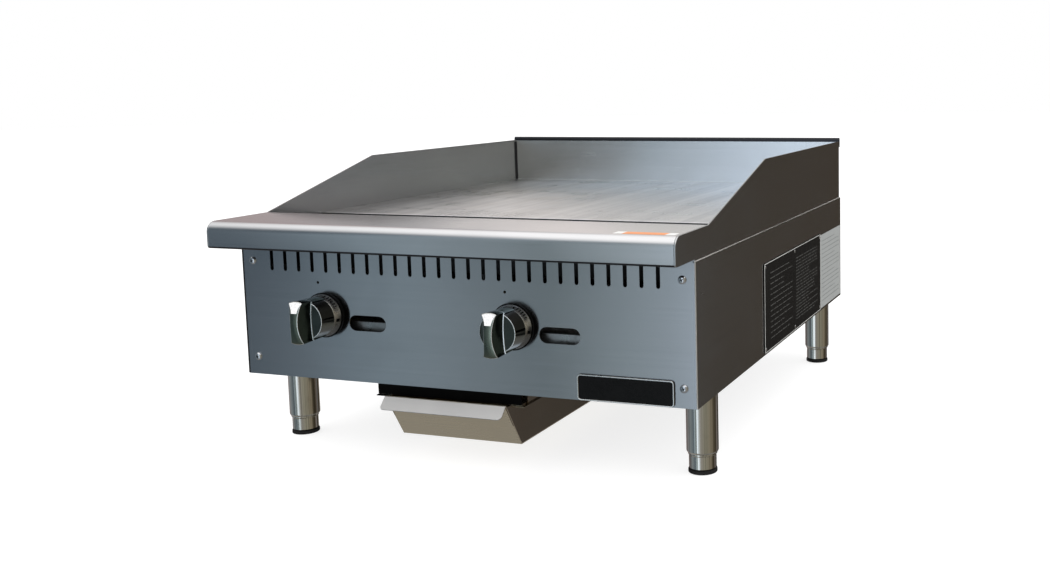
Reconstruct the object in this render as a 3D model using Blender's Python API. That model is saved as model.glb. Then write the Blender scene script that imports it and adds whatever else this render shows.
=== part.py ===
"""Countertop gas flat-top griddle with two burners, in metres.

+Z is up and the front faces -Y. The origin is on the ground, under the middle of the whole object.
Depths are measured backwards from the front panel's face, and y_at() turns a depth into Y.
"""

import math

import bmesh
import bpy
from mathutils import Matrix, Vector

# ---------------------------------------------------------------- driving dimensions
BODY_WIDTH = 0.6096
BODY_DEPTH = 0.700
NOSE_REACH = 0.0573
PIPE_REACH = 0.025
BODY_BOTTOM = 0.0965
SIDE_TOP = 0.2625
LEDGE_TOP = 0.2975
PLATE_TOP = 0.2858
SPLASH_TOP = 0.3570
BACK_TOP = 0.3629

GAP = 0.0003
SHEET = 0.0015
THIN_SHEET = 0.0012
HEAVY_SHEET = 0.0020

SIDE_OUT = BODY_WIDTH / 2
SIDE_IN = SIDE_OUT - THIN_SHEET
SPLASH_OUT = 0.3040
SPLASH_IN = SPLASH_OUT - HEAVY_SHEET
PANEL_HALF = SIDE_IN - GAP
NOSE_BOTTOM = 0.2649
NOSE_RADIUS, NOSE_FOOT = 0.0130, 0.0035
SLOPE_END = 0.2709
LEDGE_BACK = 0.0461
PLATE_FRONT = 0.1500
PLATE_BACK = 0.6917
PLATE_BOTTOM = SIDE_TOP + GAP
FLANGE_WIDTH = 0.0346
REAR_FLANGE = 0.030
RETURN_FLANGE = 0.015

VENT_COUNT = 27
VENT_PITCH = 0.020
VENT_WIDTH = 0.005
VENT_BOTTOM, VENT_TOP = 0.2304, 0.2700
WINDOW_LENGTH, WINDOW_HEIGHT, WINDOW_Z = 0.053, 0.0195, 0.170
SCREW_X, SCREW_HEIGHTS, SCREW_HOLE = 0.2887, (0.1191, 0.2420), 0.0024
STEM_HOLE, PILOT_HOLE = 0.0055, 0.0018
EXHAUST_ROWS, EXHAUST_COUNT, EXHAUST_PITCH = (0.216, 0.236), 9, 0.060
EXHAUST_LENGTH, EXHAUST_WIDTH = 0.044, 0.009
THROUGH_FRONT = (-0.004, 0.006)
THROUGH_BACK = (BODY_DEPTH - 0.006, BODY_DEPTH + 0.004)

BURNER_CENTRES = {"left": -0.130, "right": 0.130}
KNOB_OFFSET = -0.051
WINDOW_OFFSET = 0.0068
PILOT_OFFSET = -0.0626
KNOB_Z = 0.179
PILOT_Z = 0.2181
STEM_RADIUS = 0.004
STEM_BORE = 0.0043

BEZEL_RADIUS, BEZEL_DEPTH, BEZEL_FLOOR = 0.0290, 0.0100, 0.0030
KNOB_PUSH = 0.0030
SKIRT_RADIUS, DIAL_RADIUS, FACE_RADIUS = 0.0268, 0.0243, 0.0229
SKIRT_FRONT, DIAL_FRONT, FACE_FRONT = 0.0110, 0.0180, 0.0400
GRIP_FRONT, GRIP_BULGE, GRIP_BASE = 0.0610, 0.0055, 0.0150
GRIP_HALF_LENGTH, GRIP_END, GRIP_WAIST, GRIP_STEPS = 0.0262, 0.0095, 0.0053, 8

MANIFOLD_DEPTH, MANIFOLD_Z = 0.036, 0.135
PIPE_RADIUS, PIPE_WALL = 0.01335, 0.0029
INLET_X = 0.262
BURNER_RADIUS, BURNER_WALL = 0.0127, 0.0015
BURNER_FRONT, BURNER_BACK, BURNER_RETURN = 0.0800, 0.5600, 0.2000
SUPPORT_DEPTHS, SUPPORT_DROP = {"front": 0.185, "rear": 0.545}, 0.0165

LEG_X, LEG_DEPTHS = 0.2826, {"front": 0.0722, "rear": 0.6223}
LEG_RADIUS, LEG_NECK = 0.0193, 0.0222
STUD_RADIUS, STUD_HOLE = 0.005, 0.0056
FOOT_RADIUS, FOOT_BOTTOM, FOOT_SHANK = 0.0165, 0.0050, 0.006
PAD_RADIUS = 0.0174

TRAY_X, TRAY_HALF = -0.014, 0.0825
TRAY_FRONT_TOP, TRAY_FRONT_FOOT, TRAY_BACK = -0.0095, 0.0250, 0.4200
TRAY_BOTTOM, TRAY_TOP, TRAY_FLANGE = 0.0280, 0.0837, 0.0140
LIP_LENGTH, LIP_CORNER = 0.0180, 0.0070
RAIL_HALF, RAIL_BOTTOM, RAIL_BACK = 0.0985, 0.0810, 0.4400
DRAIN_DEPTH, DRAIN_RADIUS = 0.0980, 0.0160
TROUGH_FLOOR, CHUTE_END = 0.2300, 0.0880

BADGE_XS, BADGE_ZS, BADGE_CORNER = (0.1580, 0.2775), (0.0970, 0.1277), 0.004
RATING_DEPTHS, RATING_ZS = (0.2535, 0.5557), (0.0995, 0.2195)
RIVET_EDGE = 0.005

ROUND_SIDES = 24
SMALL_SIDES = 16

FRONT_Y = GRIP_FRONT - (GRIP_FRONT + BODY_DEPTH + PIPE_REACH) / 2


def y_at(depth):
    """The Y of a depth behind the front panel's face."""
    return FRONT_Y + depth


# ---------------------------------------------------------------- materials
def material(name, color, metallic, roughness):
    made = bpy.data.materials.new(name)
    made.use_nodes = True
    shader = made.node_tree.nodes["Principled BSDF"]
    shader.inputs["Base Color"].default_value = (*color, 1)
    shader.inputs["Metallic"].default_value = metallic
    shader.inputs["Roughness"].default_value = roughness
    return made


def make_materials():
    return {
        "stainless": material("stainless", (0.42, 0.44, 0.46), 1, 0.35),
        "plate": material("ground_plate", (0.55, 0.55, 0.54), 1, 0.30),
        "galvanised": material("galvanised", (0.50, 0.51, 0.52), 1, 0.5),
        "black": material("black_steel", (0.02, 0.02, 0.02), 0, 0.5),
        "iron": material("burner_iron", (0.10, 0.09, 0.09), 1, 0.6),
        "pipe": material("black_pipe", (0.06, 0.06, 0.06), 1, 0.6),
        "brass": material("brass", (0.62, 0.45, 0.18), 1, 0.35),
        "chrome": material("chrome", (0.50, 0.51, 0.52), 1, 0.12),
        "plastic": material("bezel_plastic", (0.015, 0.015, 0.015), 0, 0.3),
        "rubber": material("rubber", (0.02, 0.02, 0.02), 0, 0.8),
        "badge": material("badge_black", (0.01, 0.01, 0.012), 0, 0.15),
    }


# ---------------------------------------------------------------- building blocks
def new_object(name, bm, origin, surface, smooth=False):
    """An object made from a bmesh in world coordinates, with its own origin at the given point."""
    bmesh.ops.recalc_face_normals(bm, faces=bm.faces)
    bmesh.ops.translate(bm, verts=bm.verts, vec=-Vector(origin))
    mesh = bpy.data.meshes.new(name)
    bm.to_mesh(mesh)
    bm.free()
    if smooth:
        mesh.shade_smooth()
        mesh.set_sharp_from_angle(angle=math.radians(35))
    made = bpy.data.objects.new(name, mesh)
    made.location = origin
    bpy.context.scene.collection.objects.link(made)
    if surface is not None:
        mesh.materials.append(surface)
    return made


def middle(bm):
    """The centre of a bmesh's box."""
    axes = [[v.co[i] for v in bm.verts] for i in range(3)]
    return Vector((min(values) + max(values)) / 2 for values in axes)


def centred(name, bm, surface, smooth=False):
    return new_object(name, bm, middle(bm), surface, smooth)


def helper(name, bm):
    """A cutter or an added shape for a Boolean, which isn't part of the object."""
    made = centred(name, bm, None)
    made.hide_render = True
    made.display_type = "WIRE"
    return made


def combine(target, operation, bm):
    """Cuts a bmesh out of the target, or adds it to it."""
    count = len(target.modifiers)
    modifier = target.modifiers.new(f"{operation.lower()}_{count}", "BOOLEAN")
    modifier.operation = operation
    modifier.object = helper(f"{target.name}_{modifier.name}", bm)


def add_box(bm, xs, depths, zs):
    low = Vector((xs[0], y_at(depths[0]), zs[0]))
    high = Vector((xs[1], y_at(depths[1]), zs[1]))
    size = high - low
    matrix = Matrix.Translation((low + high) / 2) @ Matrix.Diagonal((*size, 1))
    bmesh.ops.create_cube(bm, size=1, matrix=matrix)
    return bm


def box(xs, depths, zs):
    return add_box(bmesh.new(), xs, depths, zs)


def across(a, b, where):
    """A point of an outline extruded along X, where a is a depth and b a height."""
    return Vector((where, y_at(a), b))


def along(a, b, where):
    """A point of an outline extruded along Y, where a is an X and b a height."""
    return Vector((a, y_at(where), b))


def add_prism(bm, outline, place, low, high):
    """The outline carried from low to high: place is across or along."""
    near = [bm.verts.new(place(a, b, low)) for a, b in outline]
    far = [bm.verts.new(place(a, b, high)) for a, b in outline]
    bm.faces.new(near)
    bm.faces.new(reversed(far))
    for i in range(len(outline)):
        j = (i + 1) % len(outline)
        bm.faces.new((near[i], far[i], far[j], near[j]))
    return bm


def prism(outline, place, low, high):
    return add_prism(bmesh.new(), outline, place, low, high)


def folded(path, thickness):
    """The closed outline of a sheet whose one surface follows the path and whose metal lies to its left."""
    points = [Vector(p) for p in path]
    steps = [(b - a).normalized() for a, b in zip(points, points[1:])]
    inner = []
    for i, point in enumerate(points):
        before = steps[max(i - 1, 0)]
        after = steps[min(i, len(steps) - 1)]
        sides = [Vector((-s.y, s.x)) for s in (before, after)]
        both = (sides[0] + sides[1]).normalized()
        inner.append(point + both * thickness / both.dot(sides[0]))
    return [tuple(p) for p in points + inner[::-1]]


def arc(centre, radius, start, end, steps):
    """Points on an arc, with its angles in degrees."""
    angles = [math.radians(start + (end - start) * i / steps) for i in range(steps + 1)]
    return [(centre[0] + radius * math.cos(a), centre[1] + radius * math.sin(a)) for a in angles]


def slot_outline(x, z, length, width, steps=5):
    """A level slot with round ends."""
    reach, radius = (length - width) / 2, width / 2
    return arc((x + reach, z), radius, -90, 90, steps) + arc((x - reach, z), radius, 90, 270, steps)


def standing_slot(x, zs, width, steps=4):
    """An upright slot with round ends."""
    radius = width / 2
    top = arc((x, zs[1] - radius), radius, 0, 180, steps)
    bottom = arc((x, zs[0] + radius), radius, 180, 360, steps)
    return top + bottom


def hole_outline(x, z, radius, sides=12):
    """A round hole."""
    return arc((x, z), radius, 0, 360 - 360 / sides, sides - 1)


def rounded_rectangle(xs, zs, radius, steps=4):
    corners = ((xs[1], zs[1], 0), (xs[0], zs[1], 90), (xs[0], zs[0], 180), (xs[1], zs[0], 270))
    middle_x, middle_z = sum(xs) / 2, sum(zs) / 2
    outline = []
    for x, z, start in corners:
        centre = (x - math.copysign(radius, x - middle_x), z - math.copysign(radius, z - middle_z))
        outline += arc(centre, radius, start, start + 90, steps)
    return outline


def turned(profile, place, sides=ROUND_SIDES, closed=False):
    """A solid of revolution from (radius, height) pairs, which place turns into the world.

    The profile starts and ends on the axis, or is a ring's whole section if closed is true.
    """
    bm = bmesh.new()
    rings = []
    for radius, height in profile:
        if radius == 0:
            rings.append([bm.verts.new(place @ Vector((0, 0, height)))])
            continue
        angles = [2 * math.pi * i / sides for i in range(sides)]
        points = [Vector((radius * math.cos(a), radius * math.sin(a), height)) for a in angles]
        rings.append([bm.verts.new(place @ p) for p in points])
    pairs = list(zip(rings, rings[1:]))
    if closed:
        pairs.append((rings[-1], rings[0]))
    for a, b in pairs:
        for i in range(sides):
            j = (i + 1) % sides
            corners = (a[i % len(a)], a[j % len(a)], b[j % len(b)], b[i % len(b)])
            bm.faces.new(list(dict.fromkeys(corners)))
    return bm


def upright(x, depth, z=0.0):
    """Places a turned shape with its axis up."""
    return Matrix.Translation((x, y_at(depth), z))


def facing(x, z):
    """Places a turned shape whose heights run forwards from the front panel's face."""
    return Matrix.Translation((x, y_at(0), z)) @ Matrix.Rotation(math.radians(90), 4, "X")


def cylinder(radius, low, high, place, sides=SMALL_SIDES):
    return turned([(0, low), (radius, low), (radius, high), (0, high)], place, sides)


def swept_tube(name, points, radius, wall, surface, sides=12):
    """A round tube along the points, open at its first end and closed at its last; solid with no wall."""
    bm = bmesh.new()
    path = [Vector(p) for p in points]
    steps = [(b - a).normalized() for a, b in zip(path, path[1:])]

    def ring(index, size):
        before = steps[max(index - 1, 0)]
        after = steps[min(index, len(steps) - 1)]
        tangent = (before + after).normalized()
        side = tangent.cross(Vector((0, 0, 1))).normalized()
        up = side.cross(tangent)
        angles = [2 * math.pi * i / sides for i in range(sides)]
        return [bm.verts.new(path[index] + size * (math.cos(a) * side + math.sin(a) * up)) for a in angles]

    rings = [ring(i, radius) for i in range(len(path))]
    if wall:
        rings = [ring(i, radius - wall) for i in range(len(path) - 2, -1, -1)] + rings
    bm.faces.new(rings[0])
    bm.faces.new(rings[-1])
    for a, b in zip(rings, rings[1:]):
        for i in range(sides):
            j = (i + 1) % sides
            bm.faces.new((a[i], a[j], b[j], b[i]))
    return new_object(name, bm, points[0], surface, smooth=True)


# ---------------------------------------------------------------- body
def make_front_panel(mat):
    """The control panel, with its vent row, burner windows and holes for stems, pilots and screws."""
    path = [(0, LEDGE_TOP - HEAVY_SHEET), (0, BODY_BOTTOM), (RETURN_FLANGE, BODY_BOTTOM)]
    outline = folded(path, SHEET)
    panel = centred("front_panel", prism(outline, across, -PANEL_HALF, PANEL_HALF), mat["stainless"])
    cutter = bmesh.new()
    for side in (-1, 1):
        notch = sorted((side * (SPLASH_IN - 2 * GAP), side * (PANEL_HALF + 0.01)))
        add_box(cutter, notch, THROUGH_FRONT, (SIDE_TOP - 0.001, LEDGE_TOP))
    for i in range(VENT_COUNT):
        x = (i - (VENT_COUNT - 1) / 2) * VENT_PITCH
        vent = standing_slot(x, (VENT_BOTTOM, VENT_TOP), VENT_WIDTH)
        add_prism(cutter, vent, along, *THROUGH_FRONT)
    for centre in BURNER_CENTRES.values():
        window = slot_outline(centre + WINDOW_OFFSET, WINDOW_Z, WINDOW_LENGTH, WINDOW_HEIGHT, steps=8)
        stem_hole = hole_outline(centre + KNOB_OFFSET, KNOB_Z, STEM_HOLE)
        pilot_hole = hole_outline(centre + PILOT_OFFSET, PILOT_Z, PILOT_HOLE)
        for outline in (window, stem_hole, pilot_hole):
            add_prism(cutter, outline, along, *THROUGH_FRONT)
    for x in (-SCREW_X, SCREW_X):
        for z in SCREW_HEIGHTS:
            add_prism(cutter, hole_outline(x, z, SCREW_HOLE), along, *THROUGH_FRONT)
    combine(panel, "DIFFERENCE", cutter)


def make_side_panels(mat):
    """The two outer sides, each with a foot flange for the legs and a front flange for the panel screws."""
    for name, side in (("left", -1), ("right", 1)):
        wall = sorted((side * SIDE_IN, side * SIDE_OUT))
        panel = centred(
            f"{name}_side_panel",
            box(wall, (0, BODY_DEPTH), (BODY_BOTTOM, SIDE_TOP)),
            mat["stainless"],
        )
        inside = SIDE_OUT - FLANGE_WIDTH
        overlap = side * (SIDE_OUT - THIN_SHEET / 2)
        foot_flange = box(
            sorted((side * inside, overlap)),
            (RETURN_FLANGE + GAP, BODY_DEPTH - RETURN_FLANGE - GAP),
            (BODY_BOTTOM, BODY_BOTTOM + SHEET),
        )
        combine(panel, "UNION", foot_flange)
        front_flange = box(
            sorted((side * (SIDE_OUT - 0.026), overlap)),
            (SHEET + GAP, 2 * SHEET + GAP),
            (BODY_BOTTOM + 0.006, SIDE_TOP - 0.002),
        )
        combine(panel, "UNION", front_flange)
        holes = bmesh.new()
        for z in SCREW_HEIGHTS:
            add_prism(holes, hole_outline(side * SCREW_X, z, SCREW_HOLE), along, *THROUGH_FRONT)
        combine(panel, "DIFFERENCE", holes)
        for depth in LEG_DEPTHS.values():
            stud_hole = cylinder(STUD_HOLE, 0.09, 0.105, upright(side * LEG_X, depth))
            combine(panel, "DIFFERENCE", stud_hole)


def make_rear_panel(mat):
    """The back, with its flanges, a row of exhaust slots and the gas pipe's hole."""
    path = [
        (BODY_DEPTH - RETURN_FLANGE, BODY_BOTTOM),
        (BODY_DEPTH, BODY_BOTTOM),
        (BODY_DEPTH, SIDE_TOP),
        (BODY_DEPTH - REAR_FLANGE, SIDE_TOP),
    ]
    outline = folded(path, SHEET)
    panel = centred("rear_panel", prism(outline, across, -PANEL_HALF, PANEL_HALF), mat["stainless"])
    cutter = bmesh.new()
    for row in EXHAUST_ROWS:
        for i in range(EXHAUST_COUNT):
            x = (i - (EXHAUST_COUNT - 1) / 2) * EXHAUST_PITCH
            slot = slot_outline(x, row, EXHAUST_LENGTH, EXHAUST_WIDTH)
            add_prism(cutter, slot, along, *THROUGH_BACK)
    pipe_hole = hole_outline(INLET_X, MANIFOLD_Z, PIPE_RADIUS + 0.0015, ROUND_SIDES)
    add_prism(cutter, pipe_hole, along, *THROUGH_BACK)
    combine(panel, "DIFFERENCE", cutter)


def make_bottom_pan(mat):
    """The heat shield that closes the body from below and joins the side flanges."""
    low = BODY_BOTTOM + SHEET + GAP
    pan = centred(
        "bottom_pan",
        box((-PANEL_HALF, PANEL_HALF), (0.0042, BODY_DEPTH - SHEET - GAP), (low, low + SHEET)),
        mat["galvanised"],
    )
    drain_hole = cylinder(DRAIN_RADIUS + 0.002, 0.09, 0.11, upright(TRAY_X, DRAIN_DEPTH), ROUND_SIDES)
    combine(pan, "DIFFERENCE", drain_hole)
    for side in (-1, 1):
        for depth in LEG_DEPTHS.values():
            stud_hole = cylinder(STUD_HOLE, 0.09, 0.11, upright(side * LEG_X, depth))
            combine(pan, "DIFFERENCE", stud_hole)


def make_plate_rails(mat):
    """Angle irons inside the sides, which carry the plate."""
    for name, side in (("left", -1), ("right", 1)):
        path = [
            (side * PANEL_HALF, SIDE_TOP - 0.030),
            (side * PANEL_HALF, SIDE_TOP),
            (side * (PANEL_HALF - 0.030), SIDE_TOP),
        ]
        outline = folded(path if side > 0 else path[::-1], 0.003)
        rail = prism(outline, along, PLATE_FRONT + HEAVY_SHEET, BODY_DEPTH - REAR_FLANGE - GAP)
        centred(f"{name}_plate_rail", rail, mat["galvanised"])


# ---------------------------------------------------------------- top
def nose_outline():
    """The bullnose from the start of its bend down to the end of its foot, as (depth, height) pairs."""
    nose = arc((NOSE_RADIUS - NOSE_REACH, LEDGE_TOP - NOSE_RADIUS), NOSE_RADIUS, 90, 180, 6)
    foot = arc((NOSE_FOOT - NOSE_REACH, NOSE_BOTTOM + NOSE_FOOT), NOSE_FOOT, 180, 270, 3)
    return nose + foot


def make_ledge(mat):
    """The front ledge between the side guards: one folded sheet, open underneath."""
    path = [
        (LEDGE_BACK, PLATE_BOTTOM),
        (LEDGE_BACK, LEDGE_TOP),
        *nose_outline(),
        (-GAP, NOSE_BOTTOM),
    ]
    half = SPLASH_IN - GAP
    centred("front_ledge", prism(folded(path, SHEET), across, -half, half), mat["stainless"])


def make_splashes(mat):
    """The sloped side guards, which also close the ledge's ends, and the back guard with its top hem."""
    outline = [
        (PLATE_BACK + GAP, PLATE_BOTTOM),
        (PLATE_BACK + GAP, SPLASH_TOP),
        (SLOPE_END, SPLASH_TOP - 0.0007),
        (LEDGE_BACK, LEDGE_TOP),
        *nose_outline(),
        (0, NOSE_BOTTOM),
        (0, PLATE_BOTTOM),
    ]
    for name, side in (("left", -1), ("right", 1)):
        wall = sorted((side * SPLASH_IN, side * SPLASH_OUT))
        centred(f"{name}_splash", prism(outline, across, *wall), mat["stainless"])
    front = PLATE_BACK + 2 * GAP
    path = [
        (front, PLATE_BOTTOM),
        (front, BACK_TOP),
        (BODY_DEPTH, BACK_TOP),
        (BODY_DEPTH, BACK_TOP - 0.012),
    ]
    back = prism(folded(path[::-1], SHEET), across, -SPLASH_OUT, SPLASH_OUT)
    centred("back_splash", back, mat["stainless"])


def make_plate(mat):
    """The thick ground steel cooking plate."""
    half = SPLASH_IN - GAP
    plate = centred(
        "griddle_plate",
        box((-half, half), (PLATE_FRONT, PLATE_BACK), (PLATE_BOTTOM, PLATE_TOP)),
        mat["plate"],
    )
    bevel = plate.modifiers.new("eased_edges", "BEVEL")
    bevel.width = 0.0015
    bevel.segments = 2


def make_trough(mat):
    """The grease gutter behind the ledge, with the chute that empties it into the tray."""
    half = SPLASH_IN - GAP
    front, back = LEDGE_BACK + GAP, PLATE_FRONT - GAP
    floor = TROUGH_FLOOR
    trough = centred(
        "grease_trough",
        box((-half, half), (front, back), (floor, PLATE_TOP - 0.004)),
        mat["stainless"],
    )
    hollow = box(
        (-half + THIN_SHEET, half - THIN_SHEET),
        (front + THIN_SHEET, back - THIN_SHEET),
        (floor + THIN_SHEET, LEDGE_TOP),
    )
    combine(trough, "DIFFERENCE", hollow)
    place = upright(TRAY_X, DRAIN_DEPTH)
    drain = cylinder(DRAIN_RADIUS, floor - 0.01, floor + 0.01, place, ROUND_SIDES)
    combine(trough, "DIFFERENCE", drain)
    outer, wall, flange = DRAIN_RADIUS - 2 * GAP, 0.0014, 0.0240
    section = [
        (outer - wall, CHUTE_END),
        (outer, CHUTE_END),
        (outer, floor - GAP - SHEET),
        (flange, floor - GAP - SHEET),
        (flange, floor - GAP),
        (outer, floor - GAP),
        (outer, floor + THIN_SHEET),
        (outer - wall, floor + THIN_SHEET),
    ]
    chute = turned(section, place, closed=True)
    centred("grease_chute", chute, mat["stainless"], smooth=True)


# ---------------------------------------------------------------- gas train
def make_manifold(mat):
    """The gas pipe behind the panel, and the inlet pipe that leaves through the back."""
    start, end = BURNER_CENTRES["left"] + PILOT_OFFSET - 0.040, INLET_X - 0.022
    place = Matrix.Translation((0, y_at(MANIFOLD_DEPTH), MANIFOLD_Z))
    place @= Matrix.Rotation(math.radians(90), 4, "Y")
    cap = PIPE_RADIUS + 0.0028
    profile = [
        (0, start),
        (cap, start),
        (cap, start + 0.016),
        (PIPE_RADIUS, start + 0.016),
        (PIPE_RADIUS, end - GAP),
        (0, end - GAP),
    ]
    centred("gas_manifold", turned(profile, place, 20), mat["pipe"], smooth=True)
    bend = 0.020
    turn = arc((INLET_X - bend, MANIFOLD_DEPTH + bend), bend, -90, 0, 5)
    points = [(x, y_at(depth), MANIFOLD_Z) for x, depth in [(end, MANIFOLD_DEPTH), *turn]]
    points.append((INLET_X, y_at(BODY_DEPTH + PIPE_REACH), MANIFOLD_Z))
    swept_tube("gas_inlet_pipe", points[::-1], PIPE_RADIUS, PIPE_WALL, mat["pipe"], sides=16)


def make_valves(mat):
    """For each burner, its brass valve, orifice, stem and the washer that the stem's spring pushes on."""
    for name, centre in BURNER_CENTRES.items():
        x = centre + KNOB_OFFSET
        place = facing(x, KNOB_Z)
        profile = [
            (0, -0.0560),
            (0.0070, -0.0560),
            (0.0070, -0.0470),
            (0.0112, -0.0470),
            (0.0112, -0.0150),
            (0.0090, -0.0150),
            (0.0090, -0.0090),
            (STEM_BORE, -0.0090),
            (STEM_BORE, -0.0335),
            (0, -0.0335),
        ]
        valve = centred(f"gas_valve_{name}", turned(profile, place, 20), mat["brass"], smooth=True)
        pipe_top = MANIFOLD_Z + PIPE_RADIUS + GAP
        nipple = cylinder(0.0060, pipe_top, KNOB_Z - 0.009, upright(x, MANIFOLD_DEPTH))
        combine(valve, "UNION", nipple)
        jet = [
            (0.0010, -0.0740),
            (0.0030, -0.0740),
            (0.0062, -0.0690),
            (0.0062, -0.0563),
            (0.0010, -0.0563),
        ]
        centred(f"orifice_{name}", turned(jet, place, 12, closed=True), mat["brass"])
        stem = [(0, -0.0295), (STEM_RADIUS, -0.0295), (STEM_RADIUS, 0.0300), (0, 0.0300)]
        new_object(
            f"valve_stem_{name}",
            turned(stem, place, 20),
            place.translation,
            mat["brass"],
            smooth=True,
        )
        washer = [(0.0044, -0.0057), (0.0070, -0.0057), (0.0070, -0.0045), (0.0044, -0.0045)]
        new_object(
            f"stem_washer_{name}",
            turned(washer, place, 20, closed=True),
            place.translation,
            mat["galvanised"],
            smooth=True,
        )


def make_pilots(mat):
    """For each burner, its pilot valve, pilot tube and pilot burner."""
    for name, centre in BURNER_CENTRES.items():
        x = centre + PILOT_OFFSET
        body_x = x - 0.0120
        valve = centred(
            f"pilot_valve_{name}",
            box((body_x - 0.006, x - 0.001), (0.020, 0.040), (PILOT_Z - 0.006, PILOT_Z + 0.006)),
            mat["brass"],
        )
        screw = cylinder(0.0042, -0.0300, -0.0060, facing(x, PILOT_Z), 12)
        combine(valve, "UNION", screw)
        pipe_top = MANIFOLD_Z + PIPE_RADIUS + GAP
        riser = cylinder(0.0030, pipe_top, PILOT_Z - 0.004, upright(body_x, MANIFOLD_DEPTH), 12)
        combine(valve, "UNION", riser)
        window_x = centre + WINDOW_OFFSET
        route = [
            (body_x, 0.0403, PILOT_Z),
            (body_x, 0.0520, PILOT_Z),
            (body_x + 0.010, 0.0650, PILOT_Z - 0.003),
            ((body_x + window_x) / 2, 0.0920, PILOT_Z - 0.008),
            (window_x - 0.010, 0.1180, PILOT_Z - 0.013),
            (window_x, 0.1320, PILOT_Z - 0.0145),
            (window_x, 0.1450, PILOT_Z - 0.0145),
        ]
        points = [(px, y_at(depth), z) for px, depth, z in route]
        swept_tube(f"pilot_tube_{name}", points, 0.0024, 0, mat["galvanised"], sides=8)
        head_place = facing(window_x, PILOT_Z - 0.0145)
        head = [
            (0, -0.1453),
            (0.0045, -0.1453),
            (0.0045, -0.1600),
            (0.0065, -0.1620),
            (0.0065, -0.1720),
            (0.0040, -0.1720),
            (0.0040, -0.1640),
            (0, -0.1640),
        ]
        centred(f"pilot_burner_{name}", turned(head, head_place, 12), mat["iron"])


def make_burners(mat):
    """The two U-shaped tube burners and the angles they rest on."""
    arm = -KNOB_OFFSET
    for name, centre in BURNER_CENTRES.items():
        bend = arc((centre, BURNER_BACK), arm, 180, 0, 12)
        route = [(centre - arm, BURNER_FRONT), *bend, (centre + arm, BURNER_RETURN)]
        points = [(x, y_at(depth), KNOB_Z) for x, depth in route]
        swept_tube(f"burner_{name}", points, BURNER_RADIUS, BURNER_WALL, mat["iron"], sides=14)
    top = KNOB_Z - BURNER_RADIUS - GAP
    for name, depth in SUPPORT_DEPTHS.items():
        path = [(depth, top - SUPPORT_DROP), (depth, top), (depth - 0.025, top)]
        angle = prism(folded(path, HEAVY_SHEET), across, -PANEL_HALF, PANEL_HALF)
        centred(f"burner_support_{name}", angle, mat["galvanised"])


# ---------------------------------------------------------------- controls
def grip_bar(place):
    """The bar across a knob's face: narrow in the middle, wide at both ends, with a front that bulges."""
    bm = bmesh.new()
    sections = []
    for i in range(GRIP_STEPS + 1):
        height = GRIP_HALF_LENGTH * (2 * i / GRIP_STEPS - 1)
        share = (height / GRIP_HALF_LENGTH) ** 2
        top = GRIP_WAIST + (GRIP_END - GRIP_WAIST) * share
        front = GRIP_FRONT - GRIP_BULGE * share
        corners = ((top, front), (-top, front), (-GRIP_END, GRIP_BASE), (GRIP_END, GRIP_BASE))
        sections.append([bm.verts.new(place @ Vector((u, height, out))) for u, out in corners])
    bm.faces.new(sections[0])
    bm.faces.new(sections[-1])
    for a, b in zip(sections, sections[1:]):
        for i in range(4):
            j = (i + 1) % 4
            bm.faces.new((a[i], a[j], b[j], b[i]))
    bmesh.ops.recalc_face_normals(bm, faces=bm.faces)
    return bm


def make_knobs(mat):
    """Each knob is a turned body with a waisted grip across its face, on a dished bezel."""
    for name, centre in BURNER_CENTRES.items():
        x = centre + KNOB_OFFSET
        place = facing(x, KNOB_Z)
        dish = [
            (0.0060, GAP),
            (BEZEL_RADIUS - 0.0008, GAP),
            (BEZEL_RADIUS, GAP + 0.001),
            (BEZEL_RADIUS, BEZEL_DEPTH - 0.001),
            (BEZEL_RADIUS - 0.0006, BEZEL_DEPTH),
            (SKIRT_RADIUS + 0.0006, BEZEL_DEPTH),
            (SKIRT_RADIUS + 0.0006, BEZEL_FLOOR),
            (0.0060, BEZEL_FLOOR),
        ]
        centred(f"knob_bezel_{name}", turned(dish, place, closed=True), mat["plastic"], smooth=True)
        back = BEZEL_FLOOR + KNOB_PUSH
        body = [
            (0, 0.0320),
            (STEM_BORE, 0.0320),
            (STEM_BORE, back),
            (SKIRT_RADIUS, back),
            (SKIRT_RADIUS, SKIRT_FRONT),
            (DIAL_RADIUS, DIAL_FRONT),
            (FACE_RADIUS, FACE_FRONT - 0.001),
            (FACE_RADIUS - 0.001, FACE_FRONT),
            (0, FACE_FRONT),
        ]
        knob = new_object(
            f"knob_{name}",
            turned(body, place),
            place.translation,
            mat["chrome"],
            smooth=True,
        )
        combine(knob, "UNION", grip_bar(place))
        bore = cylinder(STEM_BORE, -DIAL_FRONT, 0.0320, place, 20)
        combine(knob, "DIFFERENCE", bore)


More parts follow.
